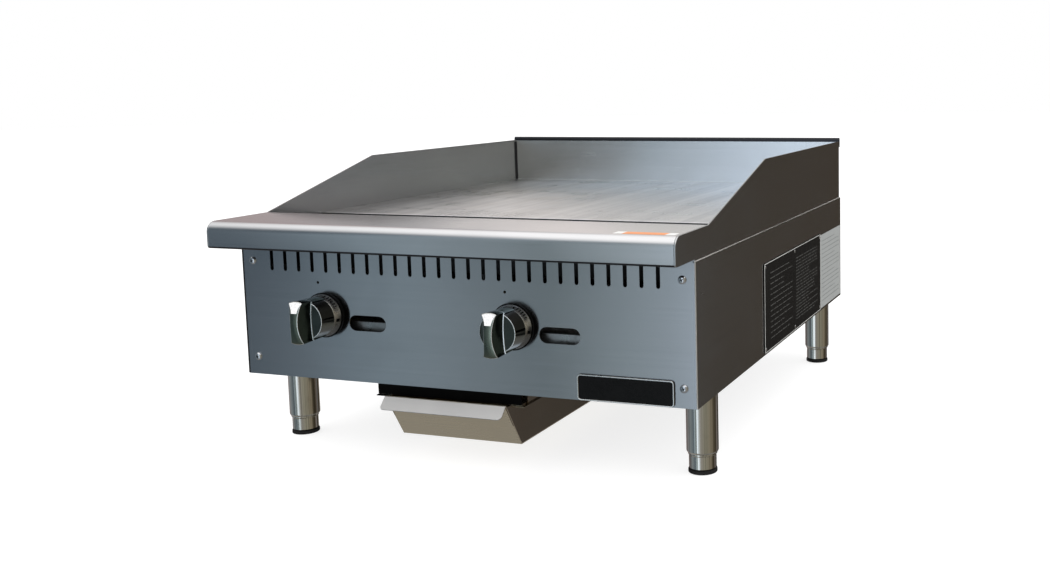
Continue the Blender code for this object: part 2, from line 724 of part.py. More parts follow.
# ---------------------------------------------------------------- legs
def make_legs(mat):
    """Four tube legs, each with a screwed foot and a rubber pad."""
    for end, depth in LEG_DEPTHS.items():
        for name, side in (("left", -1), ("right", 1)):
            place = upright(side * LEG_X, depth)
            top, bore = BODY_BOTTOM - GAP, FOOT_SHANK + 0.0005
            leg = [
                (0, 0.1080),
                (STUD_RADIUS, 0.1080),
                (STUD_RADIUS, top),
                (LEG_RADIUS, top),
                *arc((LEG_RADIUS - 0.0040, 0.0275), 0.0040, 0, -60, 3),
                (FOOT_RADIUS + 0.0006, LEG_NECK),
                (bore, LEG_NECK),
                (bore, 0.0340),
                (LEG_RADIUS - 0.0016, 0.0340),
                (LEG_RADIUS - 0.0016, top - 0.004),
                (0, top - 0.004),
            ]
            centred(f"leg_{end}_{name}", turned(leg, place), mat["stainless"], smooth=True)
            foot = [
                (0, 0.0720),
                (FOOT_SHANK, 0.0720),
                (FOOT_SHANK, LEG_NECK - GAP),
                (FOOT_RADIUS, LEG_NECK - GAP),
                (FOOT_RADIUS, FOOT_BOTTOM + 0.001),
                (FOOT_RADIUS - 0.001, FOOT_BOTTOM),
                (0, FOOT_BOTTOM),
            ]
            pad = [
                (0, FOOT_BOTTOM - GAP),
                (PAD_RADIUS, FOOT_BOTTOM - GAP),
                (PAD_RADIUS, 0.001),
                (PAD_RADIUS - 0.001, 0),
                (0, 0),
            ]
            rest = place.translation
            new_object(f"foot_{end}_{name}", turned(foot, place), rest, mat["stainless"], smooth=True)
            new_object(f"foot_pad_{end}_{name}", turned(pad, place), rest, mat["rubber"], smooth=True)


# ---------------------------------------------------------------- grease tray
def make_tray(mat):
    """The sliding grease drawer, with a sloped front, hanging flanges and a turned-down finger lip."""
    xs = (TRAY_X - TRAY_HALF, TRAY_X + TRAY_HALF)
    run = TRAY_FRONT_FOOT - TRAY_FRONT_TOP
    outer = [
        (TRAY_FRONT_TOP, TRAY_TOP),
        (TRAY_FRONT_FOOT, TRAY_BOTTOM),
        (TRAY_BACK, TRAY_BOTTOM),
        (TRAY_BACK, TRAY_TOP),
    ]
    tray = new_object(
        "grease_tray",
        prism(outer, across, *xs),
        (TRAY_X, y_at(TRAY_FRONT_TOP), TRAY_TOP),
        mat["stainless"],
    )
    for side in (-1, 1):
        edge = TRAY_X + side * TRAY_HALF
        flange = box(
            sorted((edge - side * THIN_SHEET / 2, edge + side * TRAY_FLANGE)),
            (0.004, TRAY_BACK - 0.001),
            (TRAY_TOP - THIN_SHEET, TRAY_TOP),
        )
        combine(tray, "UNION", flange)
    wall = THIN_SHEET * math.hypot(run, TRAY_TOP - TRAY_BOTTOM) / (TRAY_TOP - TRAY_BOTTOM)
    slope = run / (TRAY_TOP - TRAY_BOTTOM)
    above = 0.01
    hollow = [
        (TRAY_FRONT_TOP + wall - slope * above, TRAY_TOP + above),
        (TRAY_FRONT_FOOT + wall - slope * THIN_SHEET, TRAY_BOTTOM + THIN_SHEET),
        (TRAY_BACK - THIN_SHEET, TRAY_BOTTOM + THIN_SHEET),
        (TRAY_BACK - THIN_SHEET, TRAY_TOP + above),
    ]
    combine(tray, "DIFFERENCE", prism(hollow, across, xs[0] + THIN_SHEET, xs[1] - THIN_SHEET))
    lip = bmesh.new()
    outline = rounded_rectangle(xs, (-LIP_LENGTH, LIP_LENGTH), LIP_CORNER)
    lower = [(x, s) for x, s in outline if s < 0]
    lower = [(xs[1], 0.0006), (xs[0], 0.0006)] + lower
    down = Matrix.Translation((0, y_at(TRAY_FRONT_TOP) + 0.0006, TRAY_TOP - 0.0006))
    down @= Matrix.Rotation(math.radians(-45), 4, "X")
    near = [lip.verts.new(down @ Vector((x, 0, s))) for x, s in lower]
    far = [lip.verts.new(down @ Vector((x, -THIN_SHEET, s))) for x, s in lower]
    lip.faces.new(near)
    lip.faces.new(reversed(far))
    for i in range(len(lower)):
        j = (i + 1) % len(lower)
        lip.faces.new((near[i], far[i], far[j], near[j]))
    bmesh.ops.recalc_face_normals(lip, faces=lip.faces)
    combine(tray, "UNION", lip)


def make_tray_rails(mat):
    """The two side rails and the front bar under the body, on which the tray slides."""
    top = BODY_BOTTOM + SHEET
    for name, side in (("left", -1), ("right", 1)):
        web = TRAY_X + side * RAIL_HALF
        shelf_in = TRAY_X + side * (TRAY_HALF + 0.0015)
        shelf = box(
            sorted((shelf_in, web + side * 0.003)),
            (GAP, RAIL_BACK),
            (RAIL_BOTTOM, RAIL_BOTTOM + THIN_SHEET),
        )
        rail = centred(f"tray_rail_{name}", shelf, mat["black"])
        web_plate = box(
            sorted((web - side * THIN_SHEET, web)),
            (RETURN_FLANGE + GAP, RAIL_BACK),
            (RAIL_BOTTOM + THIN_SHEET / 2, top),
        )
        combine(rail, "UNION", web_plate)
    path = [
        (RETURN_FLANGE, BODY_BOTTOM - GAP),
        (GAP, BODY_BOTTOM - GAP),
        (GAP, TRAY_TOP + GAP),
    ]
    bar = prism(folded(path, THIN_SHEET), across, TRAY_X - RAIL_HALF, TRAY_X + RAIL_HALF)
    centred("tray_front_bar", bar, mat["black"])


# ---------------------------------------------------------------- plates and screws
def make_plates(mat):
    """The blank badge on the front and the blank rating plate on the right side."""
    outline = rounded_rectangle(BADGE_XS, BADGE_ZS, BADGE_CORNER)
    badge = prism(outline, along, -0.0028, -GAP)
    centred("front_badge", badge, mat["badge"])
    face = SIDE_OUT + GAP + 0.0010
    slab = box((SIDE_OUT + GAP, face), RATING_DEPTHS, RATING_ZS)
    plate = centred("rating_plate", slab, mat["badge"])
    sideways = Matrix.Rotation(math.radians(90), 4, "Y")
    dome = [
        (0, face - 0.0005),
        (0.0028, face - 0.0005),
        (0.0020, face + 0.0008),
        (0, face + 0.0012),
    ]
    for depth in (RATING_DEPTHS[0] + RIVET_EDGE, sum(RATING_DEPTHS) / 2, RATING_DEPTHS[1] - RIVET_EDGE):
        for z in (RATING_ZS[0] + RIVET_EDGE, RATING_ZS[1] - RIVET_EDGE):
            place = Matrix.Translation((0, y_at(depth), z)) @ sideways
            combine(plate, "UNION", turned(dome, place, 10))


def make_screws(mat):
    """The four pan-head screws that hold the front panel, each with a cross recess."""
    for end, side in (("left", -1), ("right", 1)):
        for level, z in zip(("lower", "upper"), SCREW_HEIGHTS):
            place = facing(side * SCREW_X, z)
            profile = [
                (0, -0.0090),
                (0.0020, -0.0090),
                (0.0020, GAP),
                (0.0048, GAP),
                (0.0048, 0.0010),
                (0.0040, 0.0021),
                (0.0022, 0.0027),
                (0, 0.0028),
            ]
            head = turned(profile, place)
            screw = centred(f"panel_screw_{level}_{end}", head, mat["chrome"], smooth=True)
            x = side * SCREW_X
            for wide, tall in ((0.0022, 0.0004), (0.0004, 0.0022)):
                cross = box((x - wide, x + wide), (-0.004, -0.0014), (z - tall, z + tall))
                combine(screw, "DIFFERENCE", cross)


def main():
    for old in list(bpy.data.objects):
        bpy.data.objects.remove(old)
    mat = make_materials()
    makers = (
        make_front_panel,
        make_side_panels,
        make_rear_panel,
        make_bottom_pan,
        make_plate_rails,
        make_ledge,
        make_splashes,
        make_plate,
        make_trough,
        make_manifold,
        make_valves,
        make_pilots,
        make_burners,
        make_knobs,
        make_legs,
        make_tray,
        make_tray_rails,
        make_plates,
        make_screws,
    )
    for make in makers:
        make(mat)


main()
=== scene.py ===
"""Looks of the countertop griddle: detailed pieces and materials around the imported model, in metres.

+Z is up and the front faces -Y. Every piece is made in its own place in the frame.
"""

import math
import random

import bmesh
import bpy
from mathutils import Matrix, Vector


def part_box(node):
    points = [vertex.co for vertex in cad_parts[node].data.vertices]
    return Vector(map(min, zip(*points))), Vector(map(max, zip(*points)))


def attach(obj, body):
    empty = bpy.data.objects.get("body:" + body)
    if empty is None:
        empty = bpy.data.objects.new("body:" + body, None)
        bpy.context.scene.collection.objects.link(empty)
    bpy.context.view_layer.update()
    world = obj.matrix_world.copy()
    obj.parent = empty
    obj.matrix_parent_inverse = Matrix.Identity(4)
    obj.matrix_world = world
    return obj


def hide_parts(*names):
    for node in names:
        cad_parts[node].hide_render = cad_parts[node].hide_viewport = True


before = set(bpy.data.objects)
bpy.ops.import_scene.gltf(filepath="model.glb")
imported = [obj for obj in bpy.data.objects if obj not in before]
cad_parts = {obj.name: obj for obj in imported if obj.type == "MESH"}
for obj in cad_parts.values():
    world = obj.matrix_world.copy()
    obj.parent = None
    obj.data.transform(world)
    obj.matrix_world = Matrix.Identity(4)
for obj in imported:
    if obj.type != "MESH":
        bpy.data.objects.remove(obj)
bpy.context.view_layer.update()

SIDES = {"left": -1, "right": 1}
ENDS = ("front", "rear")
CHASSIS = "chassis"

# The camera stands in front of the panel, to the right of the middle and a little above the plate.
CAMERA_X, CAMERA_FRONT, CAMERA_Z = 0.7308, 1.1396, 0.4577
CAMERA_AZIMUTH = 0.3134
CAMERA_ELEVATION = 0.11
CAMERA_ROLL = -0.0122
CAMERA_LENS = 38.542
CAMERA_SHIFT = (-0.2088, -0.0762)

SHEET = 0.0015
EDGE, EASE = 0.0004, 0.0003
GAP = 0.0003

# Smooth shading stops at these angles, and turned pieces have this many sides.
SMOOTH_ANGLE = math.radians(32)
SLAB_ANGLE = math.radians(20)
ROUND = 96


# ---------------------------------------------------------------- shapes
def finished(name, bm, surface, body, replaces=(), smooth=SMOOTH_ANGLE):
    """Turns a bmesh in frame coordinates into a piece that rides on a body."""
    bmesh.ops.recalc_face_normals(bm, faces=bm.faces)
    mesh = bpy.data.meshes.new(name)
    bm.to_mesh(mesh)
    bm.free()
    mesh.shade_smooth()
    mesh.set_sharp_from_angle(angle=smooth)
    surfaces = surface if isinstance(surface, (list, tuple)) else [surface]
    for each in surfaces:
        mesh.materials.append(each)
    piece = bpy.data.objects.new(name, mesh)
    bpy.context.scene.collection.objects.link(piece)
    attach(piece, body)
    if replaces:
        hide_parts(*replaces)
    return piece


def arc(centre, radius, start, end, steps):
    """Points on an arc, with its angles in degrees."""
    angles = [math.radians(start + (end - start) * i / steps) for i in range(steps + 1)]
    return [(centre[0] + radius * math.cos(a), centre[1] + radius * math.sin(a)) for a in angles]


def rounded_rectangle(us, vs, radius, steps=8):
    corners = ((us[1], vs[1], 0), (us[0], vs[1], 90), (us[0], vs[0], 180), (us[1], vs[0], 270))
    mid_u, mid_v = sum(us) / 2, sum(vs) / 2
    outline = []
    for u, v, start in corners:
        centre = (u - math.copysign(radius, u - mid_u), v - math.copysign(radius, v - mid_v))
        outline += arc(centre, radius, start, start + 90, steps)
    return outline


def add_loft(bm, rings):
    """Joins rings of points with quads and closes the first and last one."""
    loops = [[bm.verts.new(p) for p in ring] for ring in rings]
    faces = []
    for a, b in zip(loops, loops[1:]):
        for i in range(len(a)):
            j = (i + 1) % len(a)
            faces.append(bm.faces.new((a[i], b[i], b[j], a[j])))
    faces.append(bm.faces.new(loops[0]))
    faces.append(bm.faces.new(loops[-1][::-1]))
    return faces


def at_x(points, x):
    """An outline of (y, z) pairs set at one x."""
    return [Vector((x, y, z)) for y, z in points]


def at_y(points, y):
    """An outline of (x, z) pairs set at one y."""
    return [Vector((x, y, z)) for x, z in points]


def at_z(points, z):
    """An outline of (x, y) pairs set at one z."""
    return [Vector((x, y, z)) for x, y in points]


def add_prism(bm, outline, place, low, high):
    """A prism of an outline, which place(points, where) sets at low and at high."""
    return add_loft(bm, [place(outline, low), place(outline, high)])


def add_slab(bm, outline, place, low, high, edge, steps=2):
    """A prism with eased edges."""
    inner = inset(outline, edge)
    direction = math.copysign(1, high - low)
    rings = [place(inner, low)]
    for i in range(1, steps + 1):
        turn = math.pi / 2 * i / steps
        ring = inset(outline, edge * (1 - math.sin(turn)))
        rings.append(place(ring, low + direction * edge * (1 - math.cos(turn))))
    for i in range(steps + 1):
        turn = math.pi / 2 * i / steps
        ring = inset(outline, edge * (1 - math.cos(turn)))
        rings.append(place(ring, high - direction * edge * (1 - math.sin(turn))))
    return add_loft(bm, rings)


def slab_piece(name, slab, surface, body, replaces=()):
    """A piece that is one slab, from the slab's own outline, placer, ends and edge."""
    bm = bmesh.new()
    add_slab(bm, *slab)
    return finished(name, bm, surface, body, replaces, SLAB_ANGLE)


def inset(outline, distance):
    """The outline moved inwards by a distance, corner by corner."""
    if distance == 0:
        return list(outline)
    points = [Vector(p) for p in outline]
    count = len(points)
    area = sum(points[i].cross(points[(i + 1) % count]) for i in range(count))
    turn = math.copysign(1, area)
    moved = []
    for i, point in enumerate(points):
        before = (point - points[i - 1]).normalized()
        after = (points[(i + 1) % count] - point).normalized()
        sides = [Vector((-s.y, s.x)) * turn for s in (before, after)]
        both = (sides[0] + sides[1]).normalized()
        moved.append(tuple(point + both * distance / max(both.dot(sides[0]), 0.3)))
    return moved


def sheet_outline(path, thickness):
    """The closed outline of a sheet: one surface follows the path and the metal lies to its left."""
    points = [Vector(p) for p in path]
    steps = [(b - a).normalized() for a, b in zip(points, points[1:])]
    inner = []
    for i, point in enumerate(points):
        before = steps[max(i - 1, 0)]
        after = steps[min(i, len(steps) - 1)]
        sides = [Vector((-s.y, s.x)) for s in (before, after)]
        both = (sides[0] + sides[1]).normalized()
        inner.append(point + both * thickness / both.dot(sides[0]))
    return [tuple(p) for p in points + inner[::-1]]


def add_lathe(bm, profile, place, sides=ROUND):
    """A solid of revolution from (radius, height) pairs, put into the frame by a matrix."""
    rings = []
    for radius, height in profile:
        if radius == 0:
            rings.append([bm.verts.new(place @ Vector((0, 0, height)))])
            continue
        angles = [2 * math.pi * i / sides for i in range(sides)]
        points = [Vector((radius * math.cos(a), radius * math.sin(a), height)) for a in angles]
        rings.append([bm.verts.new(place @ p) for p in points])
    faces = []
    for a, b in zip(rings, rings[1:]):
        for i in range(sides):
            j = (i + 1) % sides
            corners = (a[i % len(a)], a[j % len(a)], b[j % len(b)], b[i % len(b)])
            faces.append(bm.faces.new(list(dict.fromkeys(corners))))
    return faces


def turned_piece(name, profile, place, surface, body, replaces=()):
    """A piece that is one solid of revolution."""
    bm = bmesh.new()
    add_lathe(bm, profile, place)
    return finished(name, bm, surface, body, replaces)


def facing_front(x, y, z):
    """Places a turned shape whose heights run towards the front."""
    return Matrix.Translation((x, y, z)) @ Matrix.Rotation(math.radians(90), 4, "X")


def facing_right(x, y, z):
    """Places a turned shape whose heights run to the right."""
    return Matrix.Translation((x, y, z)) @ Matrix.Rotation(math.radians(90), 4, "Y")


# ---------------------------------------------------------------- materials
class Graph:
    """A material's nodes, with short ways to add and join them, in the frame's coordinates."""

    def __init__(self, name):
        self.material = bpy.data.materials.new(name)
        self.material.use_nodes = True
        self.tree = self.material.node_tree
        self.shader = self.tree.nodes["Principled BSDF"]
        self.place = self.add("ShaderNodeTexCoord").outputs["Object"]

    def add(self, kind, **settings):
        node = self.tree.nodes.new(kind)
        for key, value in settings.items():
            setattr(node, key, value)
        return node

    def join(self, source, target):
        self.tree.links.new(source, target)

    def fix(self, socket, value):
        """Sets one of the shader's own sockets to the same value all over the surface."""
        self.shader.inputs[socket].default_value = value

    def noise(self, scale, detail=2.0, rough=0.5, distortion=0.0):
        """Noise with its own number of cycles per metre along each axis."""
        mapping = self.add("ShaderNodeMapping")
        mapping.inputs["Scale"].default_value = scale
        self.join(self.place, mapping.inputs["Vector"])
        texture = self.add("ShaderNodeTexNoise")
        texture.inputs["Scale"].default_value = 1
        texture.inputs["Detail"].default_value = detail
        texture.inputs["Roughness"].default_value = rough
        texture.inputs["Distortion"].default_value = distortion
        self.join(mapping.outputs["Vector"], texture.inputs["Vector"])
        return texture.outputs["Fac"]

    def spread(self, value, low, high, to_low, to_high):
        """The value's stretch from low to high carried to another one."""
        node = self.add("ShaderNodeMapRange")
        for socket, number in zip(node.inputs[1:5], (low, high, to_low, to_high)):
            socket.default_value = number
        self.join(value, node.inputs[0])
        return node.outputs[0]

    def calculate(self, operation, first, second):
        node = self.add("ShaderNodeMath", operation=operation)
        for socket, value in zip(node.inputs, (first, second)):
            if isinstance(value, (int, float)):
                socket.default_value = value
            else:
                self.join(value, socket)
        return node.outputs[0]

    def mix(self, factor, first, second):
        """Mixes two colours, each a tuple or a socket, by a socket."""
        node = self.add("ShaderNodeMix", data_type="RGBA")
        self.join(factor, node.inputs["Factor"])
        for socket, value in zip(node.inputs[6:8], (first, second)):
            if isinstance(value, tuple):
                socket.default_value = (*value, 1)
            else:
                self.join(value, socket)
        return node.outputs[2]

    def bump(self, height, distance):
        node = self.add("ShaderNodeBump")
        node.inputs["Distance"].default_value = distance
        self.join(height, node.inputs["Height"])
        if self.shader.inputs["Normal"].is_linked:
            self.join(self.shader.inputs["Normal"].links[0].from_socket, node.inputs["Normal"])
        self.join(node.outputs["Normal"], self.shader.inputs["Normal"])

    def color(self, socket):
        self.join(socket, self.shader.inputs["Base Color"])

    def roughness(self, socket):
        self.join(socket, self.shader.inputs["Roughness"])

    def tangent(self, axis):
        node = self.add("ShaderNodeTangent", direction_type="RADIAL", axis=axis)
        self.join(node.outputs["Tangent"], self.shader.inputs["Tangent"])

    def part_along(self, vector, axis):
        split = self.add("ShaderNodeSeparateXYZ")
        self.join(vector, split.inputs[0])
        return split.outputs[axis]

    def facing(self, axis):
        """How much the surface faces along an axis, from -1 to 1."""
        return self.part_along(self.add("ShaderNodeNewGeometry").outputs["Normal"], axis)


def scaled(color, factor):
    return tuple(min(c * factor, 1.0) for c in color)


def brushed(name, color, roughness, grain="X", anisotropy=0.8, tint=(1.0, 1.0, 1.0), wear=1.0):
    """Brushed metal, with its grain along one axis, soft patches, faint smudges and fine scratches."""
    g = Graph(name)
    g.fix("Metallic", 1.0)
    g.fix("Anisotropic", anisotropy)
    g.tangent(grain)

    def stretched(along, cross):
        return tuple(along if axis == grain else cross for axis in "XYZ")

    fine = g.noise(stretched(6, 1500), detail=3, rough=0.7)
    streaks = g.noise(stretched(1.2, 160), detail=4, rough=0.65)
    patches = g.noise((3.1, 2.7, 3.4), detail=2)
    smudges = g.noise((11, 9, 12), detail=3, rough=0.5, distortion=0.4)
    base = g.mix(patches, color, tuple(c * t for c, t in zip(color, tint)))
    base = g.mix(g.spread(streaks, 0.3, 0.7, 0.0, 0.35 * wear), base, scaled(color, 0.86))
    base = g.mix(g.spread(fine, 0.25, 0.75, 0.0, 0.25), base, scaled(color, 1.12))
    base = g.mix(g.spread(smudges, 0.45, 0.75, 0.0, 0.25 * wear), base, scaled(color, 0.84))
    g.color(base)
    rough = g.spread(fine, 0.2, 0.8, roughness - 0.03, roughness + 0.03)
    rough = g.calculate("ADD", rough, g.spread(smudges, 0.40, 0.75, -0.01, 0.035 * wear))
    g.roughness(rough)
    g.bump(fine, 0.000002)
    return g.material


def ground_plate():
    """The cooking plate: ground along its depth and clouded, with painted shade darkening its left end
    and blackening its front face.
    """
    g = Graph("ground_plate")
    g.fix("Metallic", 1.0)
    g.fix("Anisotropic", 0.7)
    g.tangent("Y")
    color = (0.90, 0.91, 0.93)
    lines = g.noise((900, 5, 5), detail=3, rough=0.7)
    bands = g.noise((60, 1.1, 1.1), detail=5, rough=0.7)
    clouds = g.noise((7, 12, 7), detail=5, rough=0.65, distortion=0.6)
    stain = g.noise((16, 5, 16), detail=4, rough=0.6)
    base = g.mix(g.spread(bands, 0.34, 0.66, 0.0, 1.0), scaled(color, 0.78), scaled(color, 1.16))
    base = g.mix(g.spread(lines, 0.3, 0.7, 0.0, 0.35), base, scaled(color, 0.70))
    base = g.mix(g.spread(clouds, 0.45, 0.70, 0.0, 0.30), base, scaled(color, 1.22))
    base = g.mix(g.spread(stain, 0.50, 0.72, 0.0, 0.30), base, (0.60, 0.55, 0.48))
    # Painted shade: the plate darkens towards its left end.
    left = g.spread(g.part_along(g.place, "X"), -0.28, -0.12, 0.35, 0.0)
    base = g.mix(left, base, (0.16, 0.16, 0.155))
    # Painted shade: faces turned to the front are painted near-black.
    g.color(g.mix(g.spread(g.facing("Y"), -0.5, -0.9, 0.0, 0.9), base, (0.03, 0.03, 0.03)))
    rough = g.spread(lines, 0.2, 0.8, 0.24, 0.34)
    rough = g.calculate("ADD", rough, g.spread(clouds, 0.35, 0.7, -0.02, 0.06))
    g.roughness(rough)
    g.bump(lines, 0.00001)
    g.bump(bands, 0.00002)
    return g.material


def polished_tube():
    """The legs: bright tube with lines along it, with painted light making it paler towards the left
    and painted shade darkening that edge.
    """
    g = Graph("leg_steel")
    g.fix("Metallic", 1.0)
    color = (0.72, 0.70, 0.64)
    lines = g.noise((420, 420, 1.2), detail=3, rough=0.7)
    bands = g.noise((120, 120, 0.6), detail=3, rough=0.6)
    smudges = g.noise((40, 40, 25), detail=3, distortion=0.5)
    # Painted light and shade by facing: pale where the tube turns left, near-black at its left edge.
    x = g.facing("X")
    left, edge = g.spread(x, 0.15, -0.10, 0.0, 1.0), g.spread(x, -0.70, -0.58, 0.0, 1.0)
    pale = g.calculate("MULTIPLY", left, edge)
    base = g.mix(pale, color, (1.0, 0.96, 0.88))
    base = g.mix(g.spread(x, -0.66, -0.76, 0.0, 0.8), base, (0.06, 0.055, 0.045))
    base = g.mix(g.spread(bands, 0.50, 0.64, 0.0, 0.60), base, (0.22, 0.20, 0.165))
    base = g.mix(g.spread(lines, 0.52, 0.64, 0.0, 0.50), base, (0.15, 0.14, 0.115))
    base = g.mix(g.spread(smudges, 0.55, 0.75, 0.0, 0.25), base, (0.30, 0.26, 0.20))
    g.color(base)
    g.roughness(g.spread(lines, 0.3, 0.7, 0.11, 0.17))
    g.bump(lines, 0.000004)
    return g.material


def cast_or_pipe(name, color, metallic, roughness, rust=(0.20, 0.10, 0.05), amount=0.3):
    """Dark iron or pipe, with a pitted skin and a little rust or heat colour."""
    g = Graph(name)
    g.fix("Metallic", metallic)
    pits = g.noise((420, 420, 420), detail=4, rough=0.7)
    clouds = g.noise((30, 30, 30), detail=4, rough=0.6)
    base = g.mix(g.spread(pits, 0.3, 0.7, 0.0, 0.6), color, scaled(color, 1.7))
    base = g.mix(g.spread(clouds, 0.48, 0.75, 0.0, amount), base, rust)
    g.color(base)
    g.roughness(g.spread(clouds, 0.3, 0.7, roughness - 0.10, roughness + 0.12))
    g.bump(pits, 0.00025)
    return g.material


def smooth_metal(name, color, roughness, variation=0.12, shade=None):
    """Turned or plated metal, with fine marks and light smudges.

    A shade (from, to, strength) darkens it as its normal's height goes from one value to the other.
    """
    g = Graph(name)
    g.fix("Metallic", 1.0)
    marks = g.noise((300, 300, 300), detail=3, rough=0.6)
    smudges = g.noise((70, 70, 70), detail=4, rough=0.6, distortion=0.6)
    base = g.mix(g.spread(smudges, 0.35, 0.75, 0.0, 1.0), color, scaled(color, 1 - 2 * variation))
    base = g.mix(g.spread(marks, 0.4, 0.7, 0.0, 0.3), base, scaled(color, 1 + variation))
    if shade:
        start, end, strength = shade
        base = g.mix(g.spread(g.facing("Z"), start, end, 0.0, strength), base, scaled(color, 0.05))
    g.color(base)
    rough = g.spread(smudges, 0.3, 0.75, roughness * 0.7, roughness + 0.10)
    g.roughness(rough)
    g.bump(marks, 0.000015)
    return g.material


def moulding(name, color, roughness, texture=900, depth=0.00003, dust=0.25, shine=0.5):
    """Moulded plastic, paint or rubber, with a fine texture and a little dust in its broad patches."""
    g = Graph(name)
    g.fix("Specular IOR Level", shine)
    pebbles = g.noise((texture, texture, texture), detail=3, rough=0.6)
    dusty = g.noise((38, 38, 38), detail=5, rough=0.65)
    base = g.mix(g.spread(pebbles, 0.3, 0.7, 0.0, 1.0), scaled(color, 0.8), scaled(color, 1.3))
    pale = tuple(0.5 * c + 0.04 for c in color)
    base = g.mix(g.spread(dusty, 0.5, 0.8, 0.0, dust), base, pale)
    g.color(base)
    g.roughness(g.spread(dusty, 0.3, 0.75, roughness - 0.06, roughness + 0.16))
    g.bump(pebbles, depth)
    return g.material


def striped(name):
    """A plain strip, orange between white ends."""
    g = Graph(name)
    middle = sum(STRIP_XS) / 2
    offset = g.calculate("ABSOLUTE", g.calculate("SUBTRACT", g.part_along(g.place, "X"), middle), 0.0)
    ends = g.spread(offset, STRIP_ORANGE, STRIP_ORANGE + 0.002, 0.0, 1.0)
    fibres = g.noise((900, 900, 900), detail=3)
    inner = g.mix(fibres, (0.80, 0.25, 0.07), (0.88, 0.34, 0.12))
    g.color(g.mix(ends, inner, (0.82, 0.82, 0.80)))
    g.roughness(g.spread(fibres, 0.3, 0.7, 0.35, 0.5))
    g.bump(fibres, 0.00001)
    return g.material


def make_materials():
    steel = (0.56, 0.578, 0.595)
    return {
        "front": brushed("front_steel", steel, 0.22, "X", 0.85, tint=(1.03, 0.99, 1.0)),
        "side": brushed("side_steel", steel, 0.22, "Y", 0.7, tint=(1.04, 1.0, 0.96)),
        "upright": brushed("back_steel", (0.72, 0.74, 0.765), 0.24, "X", 0.7),
        "ledge": brushed("ledge_steel", (0.70, 0.715, 0.73), 0.19, "X", 0.5, tint=(1.03, 0.98, 0.97)),
        # The drawer's tan and its sides' dark brown are painted reflection and shade on one steel.
        "tray": brushed("tray_steel", (1.0, 0.90, 0.72), 0.26, "X", 0.3, tint=(1.0, 0.97, 0.93)),
        "tray_shaded_side": brushed("tray_shaded_side_steel", (0.28, 0.225, 0.16), 0.20, "Y", 0.3),
        "lip": brushed("lip_steel", (0.71, 0.70, 0.69), 0.40, "X", 0.3),
        "leg": polished_tube(),
        # Near-black steel of painted shade: the ledge's underside, the back guard's top band, the
        # corner beads, the left panel edge and the screw recesses.
        "hem": brushed("hem_steel", (0.045, 0.045, 0.05), 0.35, "X", 0.4),
        # Pale steel of painted highlight for the right panel's rolled edge.
        "edge": brushed("edge_highlight_steel", (0.95, 0.93, 0.90), 0.55, "Y", 0.0),
        "inner": brushed("inner_steel", (0.10, 0.10, 0.10), 0.40, "X", 0.3, wear=2.0),
        "plate": ground_plate(),
        "galvanised": smooth_metal("galvanised", (0.50, 0.51, 0.52), 0.45, 0.18),
        "bracket": smooth_metal("bracket_steel", (0.36, 0.37, 0.37), 0.35, 0.25),
        "black": moulding("black_paint", (0.0015, 0.0015, 0.0015), 0.6, dust=0.03, shine=0.02),
        "iron": cast_or_pipe("burner_iron", (0.09, 0.08, 0.075), 0.9, 0.55, amount=0.55),
        "pipe": cast_or_pipe("black_pipe", (0.05, 0.05, 0.05), 0.7, 0.5, amount=0.15),
        "brass": smooth_metal("brass", (0.66, 0.48, 0.19), 0.28),
        # The knob's chrome comes in lit and shaded copies: a bright ring and rim as painted highlight,
        # and a darker grip, face and front as painted shade, with tops darkened by painted shade.
        "chrome": smooth_metal("knob_chrome", (0.36, 0.37, 0.355), 0.12, 0.05, (-0.35, 0.15, 0.88)),
        "dark": smooth_metal("shaded_chrome", (0.085, 0.115, 0.105), 0.14, 0.1),
        "face": smooth_metal("shaded_face_chrome", (0.10, 0.112, 0.10), 0.16, 0.2),
        "rim": smooth_metal("highlight_rim_chrome", (0.95, 0.95, 0.93), 0.25, 0.05),
        "grip_front_shade": smooth_metal("shaded_front_chrome", (0.19, 0.22, 0.175), 0.24, 0.05),
        "ring": smooth_metal("lit_ring_chrome", (0.95, 0.95, 0.93), 0.30, 0.06, (0.35, -0.15, 0.72)),
        "screw": smooth_metal("zinc_screw", (0.75, 0.77, 0.80), 0.16, 0.08),
        "bezel": moulding("bezel_plastic", (0.002, 0.002, 0.002), 0.40, dust=0.04, shine=0.04),
        "rubber": moulding("rubber", (0.010, 0.010, 0.010), 0.7, 500, 0.00008, 0.3, shine=0.2),
        "badge": moulding("badge_enamel", (0.003, 0.003, 0.003), 0.25, 300, 0.00001, 0.03, shine=0.12),
        "silver": smooth_metal("badge_rim", (0.95, 0.95, 0.93), 0.28),
        "plate_black": moulding("plate_enamel", (0.007, 0.007, 0.0065), 0.45, 700, 0.00001, 0.12, 0.2),
        "white": moulding("white_ink", (0.78, 0.79, 0.80), 0.35, 600, 0.00001, 0.05),
        "paper": moulding("label_paper", (0.30, 0.31, 0.305), 0.6, 800, 0.00002, 0.2, shine=0.2),
        "border": moulding("plate_border", (0.50, 0.50, 0.48), 0.4, 700, 0.00001, 0.1, shine=0.3),
        "orange": striped("orange_strip"),
        "faint": moulding("faint_ink", (0.085, 0.085, 0.08), 0.6, 500, 0.00001, 0.1, shine=0.2),
    }


